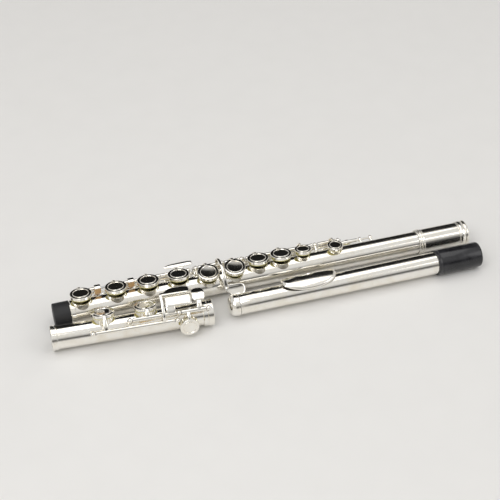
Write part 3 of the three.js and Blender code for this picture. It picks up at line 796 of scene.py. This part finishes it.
class FLUTE_OT_tubes(bpy.types.Operator):
    """Draw the body, foot and head tubes with their tone holes, and the barrel"""
    bl_idname = "flute.tubes"
    bl_label = "Tubes and barrel"

    def execute(self, context):
        wall = context.scene.flute_sizes.wall
        # Straight holes first, then the turned ones, then the small one.
        keys = sorted(MAIN_KEYS, key=lambda key: (key[5] < CUP_R, key[4]))
        holes = [(x, turn, 6.8 if r == CUP_R else 4.4) for _, x, _, _, turn, r in keys]
        holes += [(D_TRILL_X, 0, 4), (DSHARP_TRILL_X, BACK_HOLE, 4), (GSHARP_X, BACK_HOLE, 4.8),
                  (THUMB_X, THUMB_HOLE, 4)]
        body = [(9.0, -22.4), (9.5, -22.0), (9.5, -10.3), (10.35, -10.3), (10.6, -10.0), (10.6, -6.9),
                (10.35, -6.6), (TUBE_R, -6.6), (TUBE_R, 322), (9.1, 322)]
        self.toned("body_tube", body, holes, TUBE_R - wall, BODY, "body_section")
        foot = [(10.2, 0), (10.6, 0.3), (10.6, 1.6), (10.3, 1.9), (10.3, 3.4), (10.6, 3.7), (10.6, 4.7),
                (10.3, 5),
                (TUBE_R, 5), (TUBE_R, 125), (10.6, 125.1), (10.9, 125.4), (10.9, 128.8), (10.7, 129),
                (11.15, 129.3),
                (11.15, 133.6), (10.9, 134), (9.8, 134)]
        holes = [(C_FOOT_X, FOOT_TURN, 7.2), (CSHARP_FOOT_X, FOOT_TURN, 7.2), (EFLAT_X, EFLAT_TURN, 6.0)]
        self.toned("foot_tube", foot, holes, TUBE_R - wall, FOOT, "foot_section", socket=(112, 9.8))
        head = [(8.8, 9.3), (8.9, 9.5), (9.05, 35), (9.2, 60), (9.5, 110), (9.75, 170), (9.75, 225.7),
                (9.5, 226),
                (9.0, 226)]
        outer = lathe_x([(0, 9.3), *head, (0, 226)], n=96)
        inner = lathe_x([(0, 8.9), (8.0, 8.9), (8.4, 60), (9.0, 170), (9.0, 228), (0, 228)], n=96)
        mouth = lathe_out([(0, 5), (5.3, 5), (5.3, 14), (0, 14)], LIP_X, MOUTH_ANGLE, 48, 1.2)
        carve("head_tube", outer, [], [inner, mouth], HEAD, "head_section")
        barrel = [(10.2, 300.2), (10.5, 300), (10.95, 300.25), (11.1, 300.7), (10.95, 301.15), (10.5, 301.3),
                  (10.5, 301.7), (11.05, 301.9), (11.28, 302.6), (11.05, 303.3), (10.5, 303.5), (10.5, 303.9),
                  (10.95, 304.1), (11.1, 304.5), (10.95, 304.95), (10.7, 305.2), (10.7, 338.2),
                  (10.95, 338.4),
                  (11.05, 338.7), (10.95, 339.0), (10.55, 339.1), (10.55, 339.5), (11.0, 339.7),
                  (11.28, 340.2),
                  (11.3, 340.9), (11.3, 343.4), (11.15, 343.7), (10.8, 343.8), (10.8, 344.1), (11.15, 344.2),
                  (11.3, 344.6), (11.3, 345.9), (11.2, 346.6), (10.9, 347.0), (10.45, 347.0), (10.2, 346.7),
                  (10.2, 300.2)]
        make("barrel", lathe_x(barrel, n=96), BODY, finish("plate"), "body_section",
             ["barrel"])
        return {"FINISHED"}

    @staticmethod
    def toned(name, profile, holes, bore, matrix, body, socket=None):
        """Tube with a chimney round each (x, angle, radius) tone hole."""
        x0, x1 = profile[0][1], profile[-1][1]
        outer = lathe_x([(0, x0), *profile, (0, x1)], n=112)
        rims = [lathe_out([(0, 5), (r + 0.85, 5), (r + 0.85, 11.3), (r + 0.95, 11.6), (r + 0.9, 11.82),
                           (r + 0.6, 11.9), (r + 0.2, 11.84), (r, 11.6), (0, 11.6)], x, a, 56) for x, a,
                r in holes]
        wells = Form().join(*[lathe_out([(0, 4), (r, 4), (r, 13), (0, 13)], x, a, 48) for x, a, r in holes])
        cuts = [wells, lathe_x([(0, x0 - 2), (bore, x0 - 2), (bore, x1 + 2), (0, x1 + 2)], n=96)]
        if socket:
            cuts.append(lathe_x([(0, socket[0]), (socket[1], socket[0]), (socket[1], x1 + 2), (0, x1 + 2)],
                                n=96))
        carve(name, outer, [Form().join(*rims)], cuts, matrix, body)


class FLUTE_OT_posts(bpy.types.Operator):
    """Set the straps, the turned posts, the rods and their slotted screws"""
    bl_idname = "flute.posts"
    bl_label = "Straps, posts and rods"

    def execute(self, context):
        posts = post_tree()
        groups = [
            ("right_hand_rib", BODY, "body_section",
             [(x, MAIN_ROD, ROD_RADIUS) for x in (-4.6, 25, 52, 94.4)],
             [arc_strap(-6, 96, -61, -49)]),
            ("left_hand_rib", BODY, "body_section",
             [(x, MAIN_ROD, ROD_RADIUS) for x in (99.6, 143.6, 209.2, 230.6)]
             + [(x, G_ROD, ROD_RADIUS) for x in (100.4, 123.6, 141.2)],
             [arc_strap(97.6, 233, -61, -49),
              *[arc_strap(x - 2, x + 2, -56, G_ROD + 6) for x in (100.4, 123.6, 141.2)]]),
            ("trill_rib", BODY, "body_section", [(x, TRILL_ROD, TRILL_RADIUS) for x in (251.8, 261.5)],
             [arc_strap(249, 263.6, -77, -63)]),
            ("thumb_rib", BODY, "body_section", [],
             [arc_strap(141, 196, -150, -138, r1=10.5),
              *[lathe_out([(0, 10.2), (1.3, 10.2), (1.1, 11.6), (1.6, 12.0), (1.6, 13.2), (1.2, 13.7),
                           (0, 13.8)], x, THUMB_ROD, 24) for x in (142.4, 194)]]),
            ("foot_rib", FOOT, "foot_section",
             [(x, FOOT_ROD, ROD_RADIUS) for x in (64.2, 104.6, 129.4)]
             + [(x, FOOT_OUTER_ROD, FOOT_OUTER_RADIUS) for x in (33.2, 102.6)],
             [arc_strap(31, 124.6, 32, 43), arc_strap(121, 124.6, 28, 42, r1=12),
              arc_strap(121, 131.2, 28, 42, 11.2, 12),
              *[arc_strap(x - 1.8, x + 1.8, 40, 61) for x in (33.2, 102.6)]]),
        ]
        for name, matrix, body, heads, straps in groups:
            parts = []
            for radius in sorted({head[2] for head in heads}):
                points = [(x, *polar(r, a), math.radians(a)) for x, a, r in heads if r == radius]
                parts.append(grow(f"{name}_{len(parts)}", posts, points, matrix, finish("keys"),
                                  {"Height": radius - 10.2}))
            strap = new_object("strap", mesh_of("strap", Form().join(*straps), matrix))
            settle(merge(name, [*parts, strap]), finish("keys"), body, [name])
        self.rods(context.scene.flute_sizes.screw)
        return {"FINISHED"}

    @staticmethod
    def rods(radius):
        """Steel rods through the posts, and a slotted screw in each end post."""
        left, right, foot_rod = -math.pi / 2, math.pi / 2, polar(ROD_RADIUS, FOOT_ROD)
        g_rod = turned(ROD, G_TURN)
        rods = [("right_hand_steel", -6.6, 96.4, ROD, BODY, "body_section"),
                ("left_hand_steel", 97.6, 232.6, ROD, BODY, "body_section"),
                ("g_steel", 98.4, 143.2, g_rod, BODY, "body_section"),
                ("thumb_steel", 141, 195.4, THUMB, BODY, "body_section"),
                ("foot_inner_steel", 62.2, 131.4, foot_rod, FOOT, "foot_section"),
                ("foot_outer_steel", 31.2, 104.6, OUTER, FOOT, "foot_section")]
        for name, x0, x1, (y, z), matrix, body in rods:
            r = 0.7 if name == "thumb_steel" else 0.9
            make(name, lathe_x([(0, x0), (r - 0.1, x0), (r, x0 + 0.1), (r, x1 - 0.1), (r - 0.1, x1), (0, x1)],
                               y, z, 24), matrix, finish("steel"), body, [name])
        screws = screw_tree()
        for name, matrix, body, ends in (
                ("body_screws", BODY, "body_section", [(-6.75, *ROD, left), (232.72, *ROD, right),
                                                       (98.2, *g_rod, left), (143.4, *g_rod, right)]),
                ("foot_screws", FOOT, "foot_section", [(62.0, *foot_rod, left), (131.6, *foot_rod, right),
                                                       (31.0, *OUTER, left), (104.8, *OUTER, right)])):
            piece = grow(name, screws, ends, matrix, finish("steel"), {"Radius": radius})
            settle(piece, finish("steel"), body)


class FLUTE_OT_cups(bpy.types.Operator):
    """Make the main cups with their pads, arms and hinge tubes"""
    bl_idname = "flute.cups"
    bl_label = "Main key cups"

    def execute(self, context):
        for name, x, x0, x1, turn, r in MAIN_KEYS:
            matrix = on_hinge(BODY, ROD, -OPEN, turn)
            make_key(f"{name}_key", key_form(x, r, x0, x1), matrix)
            make_pad(f"{name}_pad", pad_form(x, r), matrix, f"{name}_key")
        finger = bar([(216, 12.0, 9, 2, 1.1), (216, 12.0, 6.6, 2, 1.0)])
        make_key("d_trill_cup", key_form(D_TRILL_X, 6.7, 211.7, 228.1).join(finger), BODY)
        make_pad("d_trill_pad", pad_form(D_TRILL_X, 6.7), BODY, "d_trill_cup")
        return {"FINISHED"}


class FLUTE_OT_trills(bpy.types.Operator):
    """Make the two trill touches with their cork blocks, and the far trill cup"""
    bl_idname = "flute.trills"
    bl_label = "Trill keys"

    def execute(self, context):
        y, z = TRILL
        back = on_line(DSHARP_TRILL_X, (13.3, 4.9, 3.2, 2.0), (15.6, 4.8, 3.2, 1.4), (16.7, 2.2, 3.0, 1.2),
                       (16.2, -1.6, 2.4, 1.0), (15.2, -4.4, 1.0, 0.8))
        rod = lathe_x([(0, -6), (0.7, -6), (0.8, -5.9), (0.8, 263.3), (0.7, 263.4), (0, 263.4)], y, z, 20)
        solid = [(0, 0), (1.45, 0), (1.6, 0.15), (1.6, 0.85), (1.45, 1.0), (0, 1.0)]

        def sleeve(x0, x1):
            return lathe_x([(r, x0 + t * (x1 - x0)) for r, t in solid], y, z, 24)

        cup = low_cup_form(DSHARP_TRILL_X, 6.2, BACK_HOLE)
        form = Form().join(rod, sleeve(12.6, 17), sleeve(234.5, 249), cup, back, *self.touch(14.75))
        make_key("dsharp_trill_key", form, BODY)
        make_pad("dsharp_trill_pad", pad_form(DSHARP_TRILL_X, 6.2, BACK_HOLE), BODY, "dsharp_trill_key")
        finger = bar([(216, 13.4, 5.4, 2, 1.0), (216, 13.4, 7.5, 2, 0.9)])
        form = Form().join(tube_form(38, 226, y, z, 1.6, 1.1, 24), finger, *self.touch(43.3))
        make_key("d_trill_touch", form, BODY)
        for name, body, x in (("dsharp_trill_cork", "dsharp_trill_key", 14.75),
                              ("d_trill_cork", "d_trill_touch", 43.3)):
            block = loft([[(x + u * w, v, h) for u, v in ((-1, 2.9), (1, 2.9), (1, back), (-1, back))]
                          for h, w, back in ((11.4, 2.4, 5.2), (13.5, 2.6, 5.2), (16.75, 2.65, 4.9))])
            make(name, block, BODY, finish("cork"), body, bevel=0.3)
        return {"FINISHED"}

    @staticmethod
    def touch(x):
        arm = on_line(x, (13.1, 4.6, 2.6, 2.0), (11.4, 5.8, 2.5, 1.3), (9.2, 8.6, 2.4, 1.2),
                      (7.3, 12.4, 2.6, 1.2), (6.4, 15.4, 3.2, 1.2), (5.2, 17.2, 4.2, 1.0))
        plate = leaf(rounded(x - 2.8, x + 2.8, 0, 4.7, 0.9), slope((2.7, 16.95), (7.4, 17.7), 0.3), 1.1)
        return arm, plate


class FLUTE_OT_levers(bpy.types.Operator):
    """Make the G sharp lever, the pointed B flat side lever and the thumb keys"""
    bl_idname = "flute.levers"
    bl_label = "Levers and thumb keys"

    def execute(self, context):
        lever = bar([*[(119.75, *station) for station in (
            (12.4, 10.8, 3.0, 2.0), (12.6, 13.6, 2.8, 1.5), (11.0, 16.8, 2.6, 1.4), (7.2, 19.4, 2.5, 1.4),
            (0, 20.7, 2.5, 1.4), (-7.2, 19.0, 2.6, 1.4), (-12.5, 14.7, 2.8, 1.4))],
            (119.9, -15.6, 9.4, 3.6, 1.3), (120.8, -16.9, 6.2, 4.6, 1.2)])
        paddle = [(118.2, 3.4), (121.6, 4.0), (127, 3.9), (132.4, 3.4), (135.2, 2.0), (136.2, -1.2),
                  (135.0, -4.4),
                  (131.6, -6.3), (127.4, -6.4), (123.4, -4.8), (120.2, -1.8), (118.4, 0.8)]
        rear = on_line(GSHARP_X, (12.8, 9.2, 3.4, 2.0), (15.6, 8.4, 3.4, 1.4), (17.5, 4.8, 3.2, 1.3),
                       (16.9, 0.4, 2.8, 1.1), (15.2, -4.4, 1.0, 0.8))
        form = Form().join(tube_form(102.1, 141.3), lever, rear, low_cup_form(GSHARP_X, 6.4, BACK_HOLE),
                           leaf(paddle, slope((-17.4, 5.2), (-15.9, 8.8), -0.2), 1.3, 72))
        make_key("gsharp_key", form, BODY)
        make_pad("gsharp_pad", pad_form(GSHARP_X, 6.4, BACK_HOLE), BODY, "gsharp_key")
        blade = [(74.2, 2.3), (76, 1.2), (79, 0.4), (86, 0.1), (94, 0.1), (98.6, 0.5), (99.3, 2.3),
                 (98.6, 4.2),
                 (94, 4.6), (86, 4.6), (79, 4.2), (76, 3.4)]
        stem = on_line(88.6, (12.8, 10.6, 5, 1.6), (14.0, 11.5, 4.6, 1.4), (15.4, 12.3, 4.8, 1.2),
                       (16.8, 12.9, 5.4, 1.0))
        form = Form().join(tube_form(85.3, 91.9), stem,
                           leaf(blade, slope((15, 12.7), (18.6, 13.8), 0.2), 1.2, 72))
        make_key("bflat_side_lever", form, BODY)
        matrix = on_hinge(BODY, THUMB, -6)
        y, z = THUMB

        def link(x, wide):
            return on_line(x, (8.8, -9.4, wide, 1.6), (11.6, -8.0, wide, 1.2), (14.6, -6.4, wide + 1, 1.1))

        def touch(x0, x1):
            return leaf(rounded(x0, x1, 0, 9, 1.2), slope((15.8, -7), (14.0, 2), 0.3), 1.1)

        arm = on_line(THUMB_X, (8.6, -9.0, 3.6, 1.6), (10.8, -9.3, 3.4, 1.1), (13.6, -9.2, 3.2, 1.1),
                      (14.9, -6.6, 2.6, 1.0), (14.9, -3.8, 1.2, 0.7))
        form = Form().join(tube_form(158.4, 192.4, y, z, 1.5, 1.0, 24),
                           low_cup_form(THUMB_X, 6.2, THUMB_HOLE), arm, link(166, 4), touch(160, 172))
        make_key("thumb_b_key", form, matrix)
        make_pad("thumb_b_pad", pad_form(THUMB_X, 6.2, THUMB_HOLE), matrix, "thumb_b_key")
        form = Form().join(tube_form(144.2, 158, y, z, 1.5, 1.0, 24), link(151.5, 3), touch(146, 158))
        make_key("thumb_bflat_lever", form, matrix)
        return {"FINISHED"}


class FLUTE_OT_foot(bpy.types.Operator):
    """Make the foot's two nearly closed cups, the E flat key and the touches for the little finger"""
    bl_idname = "flute.foot"
    bl_label = "Foot keys"

    def execute(self, context):
        def tilt(x, stations):
            return on_line(x, *[(*turned((y, z), -FOOT_TURN), w, t) for y, z, w, t in stations])

        def tilted(a, b):
            return slope(turned(a, -FOOT_TURN), turned(b, -FOOT_TURN), 0.3)

        matrix = on_hinge(FOOT, (-ROD[0], ROD[1]), FOOT_REST, FOOT_TURN)
        stem = tilt(98.3, [(-8.6, 14.6, 7, 1.6), (-7.0, 16.4, 7.4, 1.3), (-4.9, 18.0, 7.6, 1.1)])
        plate = leaf(rounded(94.6, 116.2, 0, 8.7, 1.2), tilted((-5.2, 18.1), (3.2, 20.5)), 1.2, 64)
        touch = raised((-ROD[0], ROD[1]), OPEN - FOOT_REST, stem, plate)
        make_key("csharp_foot_key", key_form(CSHARP_FOOT_X, FOOT_CUP_R, 66.5, 102.3, -1).join(touch), matrix)
        make_pad("csharp_foot_pad", pad_form(CSHARP_FOOT_X, FOOT_CUP_R), matrix, "csharp_foot_key")
        hinge = turned(OUTER, -FOOT_TURN)
        matrix = on_hinge(FOOT, hinge, FOOT_OUTER_REST, FOOT_TURN)
        arm = on_line(C_FOOT_X, (hinge[0], 4.6, 4, 2), (-14.6, 8.2, 3.8, 1.5), (-12.6, 12.2, 3.4, 1.4),
                      (-9.8, 15.4, 2.8, 1.2), (-7.9, 16.2, 2, 0.9), (-6.4, 16.35, 0.7, 0.5))
        reach = tilt(91.8, [(-13.1, 9.6, 2.6, 1.8), (-12.5, 13.6, 2.5, 1.3), (-9.2, 17.6, 2.5, 1.3),
                            (-3.4, 20.8, 2.5, 1.3), (4.6, 22.1, 2.6, 1.2)])
        back = leaf([(90.6, 0.2), (93, 0), (100, 0), (108, 0), (115.4, 0), (116.2, 0.8), (116.2, 4),
                     (115.4, 6.4),
                     (113, 7.4), (108, 7.8), (102, 7.6), (98, 6.2), (95, 3.6), (92.6, 2.6), (90.8, 2.4)],
                    tilted((4.4, 22.1), (12.0, 21.0)), 1.2, 75)
        touch = raised(hinge, OPEN - 2 - FOOT_OUTER_REST, reach, back)
        form = Form().join(cup_form(C_FOOT_X, FOOT_CUP_R), arm, tube_form(35.8, 100, *hinge), touch,
                           washer_form(C_FOOT_X))
        make_key("c_foot_key", form, matrix)
        make_pad("c_foot_pad", pad_form(C_FOOT_X, FOOT_CUP_R), matrix, "c_foot_key")
        matrix = on_hinge(FOOT, ROD, 0, EFLAT_TURN)
        stem = bar([(x, *turned((y, z), -EFLAT_TURN), w, t) for x, y, z, w, t in (
            (121.6, -8.5, 14.2, 4.4, 2.2), (121.8, -7.4, 16.2, 3.8, 1.4), (122.2, -4.8, 17.9, 4.2, 1.3),
            (122.4, -1.6, 18.9, 6.4, 1.2))])
        surface = slope(turned((-4, 18.2), -EFLAT_TURN), turned((8, 21.0), -EFLAT_TURN), 1.3)
        paddle = leaf(ellipse(122.6, 6.6, 5.8, 6.8, 2.3), surface, 1.3, 60)
        make_key("eflat_key", key_form(EFLAT_X, EFLAT_CUP_R, 106.9, 127.1).join(stem, paddle), matrix)
        make_pad("eflat_pad", pad_form(EFLAT_X, EFLAT_CUP_R), matrix, "eflat_key")
        return {"FINISHED"}


class FLUTE_OT_head(bpy.types.Operator):
    """Make the lip plate, its riser, the crown and the stopper inside"""
    bl_idname = "flute.head"
    bl_label = "Lip plate and crown"

    def execute(self, context):
        n, steps = 96, 18
        offset = math.radians(MOUTH_ANGLE - LIP_ANGLE) * LIP_RADIUS

        def top(x, s, inset):
            """Point of the plate: x along the tube, s round it, inset 0 at the rim to 1 inside."""
            along = (x - LIP_X) / LIP_HALF_LENGTH
            height = LIP_RADIUS - 0.9 * along * along - (1 - inset) ** 2
            y, z = polar(1, LIP_ANGLE + math.degrees(s / LIP_RADIUS))
            return Vector((x, y * height, z * height)), Vector((0, y, z))

        rows = []
        for side in (0, 1):
            for k in range(steps + 1):
                t = k / steps if side == 0 else 1 - k / steps
                ring = []
                for i in range(n):
                    a = 2 * math.pi * i / n
                    c, s = math.cos(a), math.sin(a)
                    inner = (LIP_X + 6.0 * c, offset + 5.0 * s)
                    outer = (LIP_X + LIP_HALF_LENGTH * math.copysign(abs(c) ** 0.92, c),
                             LIP_HALF_WIDTH * math.copysign(abs(s) ** 0.85, s))
                    x, v = (a + (b - a) * t for a, b in zip(inner, outer))
                    point, normal = top(x, v, min(1.0, (1 - t) * 9))
                    roll = 0.12 if t in (0, 1) else 0.0
                    ring.append(point - normal * (roll if side == 0 else 1.1 - roll))
                rows.append(ring)
        plate = loft(rows, closed=True)
        make("lip_plate", plate, HEAD, finish("plate"), "head_section", ["lip_plate"],
             angle=50)
        tool = [lathe_x([(0, 40), (9.75, 40), (9.75, 110), (0, 110)], n=80),
                lathe_out([(0, 5), (5.2, 5), (5.0, 16), (0, 16)], LIP_X, MOUTH_ANGLE, 48, 1.2)]
        shell = lathe_out([(0, 8), (7.6, 8), (7.0, 12.1), (0, 12.1)], LIP_X, MOUTH_ANGLE, 64, 1.2)
        carve("riser", shell, [], tool, HEAD, "head_section")
        dome = [(0, 0), (2, 0.04), (4, 0.3), (5.8, 0.85), (7.3, 1.75), (8.4, 3.0), (9.05, 4.4), (9.3, 5.8),
                (9.3, 6.6), (9.1, 6.8), (9.1, 7.2), (9.3, 7.4), (9.3, 8.6), (9.1, 8.9), (2.4, 8.9),
                (2.4, 4.5),
                (0, 4.5)]
        make_key("crown", lathe_x(dome, n=72), HEAD)
        thread = [(0, 4.9), (1.45, 4.9)]
        for i in range(40):
            x = 5.2 + i * 0.76
            thread += [(1.6, x), (1.35, x + 0.38)]
        thread += [(1.45, 35.8), (5.8, 35.8), (6, 36), (6, 37.4), (5.8, 37.6), (0, 37.6)]
        make("stopper_rod", lathe_x(thread, n=24), HEAD, finish("steel"), "head_section",
             ["stopper_rod"])
        plug = [(0, 37.9), (7.6, 37.9), (7.9, 38.2), (8.0, 40), (8.05, 45), (8.0, 51), (7.9, 52.7), (7.6, 53),
                (0, 53)]
        make("stopper_cork", lathe_x(plug, n=48), HEAD, finish("cork"), "head_section",
             ["stopper_cork"])
        return {"FINISHED"}


class FLUTE_OT_caps(bpy.types.Operator):
    """Make the slip-on caps over the two tenons"""
    bl_idname = "flute.caps"
    bl_label = "Tenon caps"

    def execute(self, context):
        head = [(10.05, 188.0), (10.7, 188.0), (10.95, 188.25), (11.0, 188.7), (11.0, 190.6), (10.9, 190.8),
                (10.9, 191.2), (11.0, 191.4), (11.0, 227.4), (10.85, 228.2), (10.4, 228.8), (9.7, 229.0),
                (1e-4, 229.0), (1e-4, 227.4), (10.05, 227.4), (10.05, 188.0)]
        make("head_tenon_cap", lathe_x(head, n=80), HEAD, finish("cap"), "head_tenon_cap",
             ["head_tenon_cap"])
        body = [(9.8, -10.7), (10.2, -10.7), (10.4, -10.9), (10.4, -23.6), (10.2, -24.2), (9.8, -24.5),
                (9.2, -24.6), (1e-4, -24.6), (1e-4, -23.4), (9.8, -23.4), (9.8, -10.7)]
        make("body_tenon_cap", lathe_x(body, n=72), BODY, finish("dark_cap"), "body_tenon_cap",
             ["body_tenon_cap"])
        return {"FINISHED"}


class FLUTE_OT_springs(bpy.types.Operator):
    """Lay the needle springs beside the hinge tubes"""
    bl_idname = "flute.springs"
    bl_label = "Needle springs"

    def execute(self, context):
        tree = spring_tree()
        radius = context.scene.flute_sizes.spring
        body = [(x, *polar(13.2, -60), math.radians(MAIN_ROD)) for x in (4.5, 34, 61.5, 150, 171, 191)]
        body += [(x, *polar(13.2, G_ROD - 8), math.radians(G_ROD)) for x in (110, 132)]
        foot = [(42, *polar(12.8, 60), 0.0), *[(x, *polar(13.2, 42), 0.0) for x in (72, 112)]]
        for name, points, matrix, section_name in (("body_springs", body, BODY, "body_section"),
                                                   ("foot_springs", foot, FOOT, "foot_section")):
            piece = grow(name, tree, points, matrix, finish("spring"), {"Length": 13.0, "Radius": radius})
            settle(piece, finish("spring"), section_name)
        return {"FINISHED"}


class FLUTE_PT_panel(bpy.types.Panel):
    """Sizes, colours and building steps of the flute"""
    bl_idname = "FLUTE_PT_panel"
    bl_label = "Flute"
    bl_space_type = "VIEW_3D"
    bl_region_type = "UI"
    bl_category = "Flute"

    def draw(self, context):
        layout = self.layout
        for group in (context.scene.flute_sizes, context.scene.flute_looks):
            for name in group.bl_rna.properties.keys():
                if name not in ("rna_type", "name"):
                    layout.prop(group, name)
        for step in STEPS:
            layout.operator(step.bl_idname)


STEPS = (FLUTE_OT_stage, FLUTE_OT_tubes, FLUTE_OT_posts, FLUTE_OT_cups, FLUTE_OT_trills, FLUTE_OT_levers,
         FLUTE_OT_foot, FLUTE_OT_head, FLUTE_OT_caps, FLUTE_OT_springs)
CLASSES = (FluteSizes, FluteLooks, *STEPS, FLUTE_PT_panel)


def register():
    for cls in CLASSES:
        bpy.utils.register_class(cls)
    bpy.types.Scene.flute_sizes = PointerProperty(type=FluteSizes)
    bpy.types.Scene.flute_looks = PointerProperty(type=FluteLooks)


def unregister():
    del bpy.types.Scene.flute_looks
    del bpy.types.Scene.flute_sizes
    for cls in reversed(CLASSES):
        bpy.utils.unregister_class(cls)


def main():
    register()
    for step in STEPS:
        family, name = step.bl_idname.split(".")
        getattr(getattr(bpy.ops, family), name)()


if __name__ == "__main__":
    main()
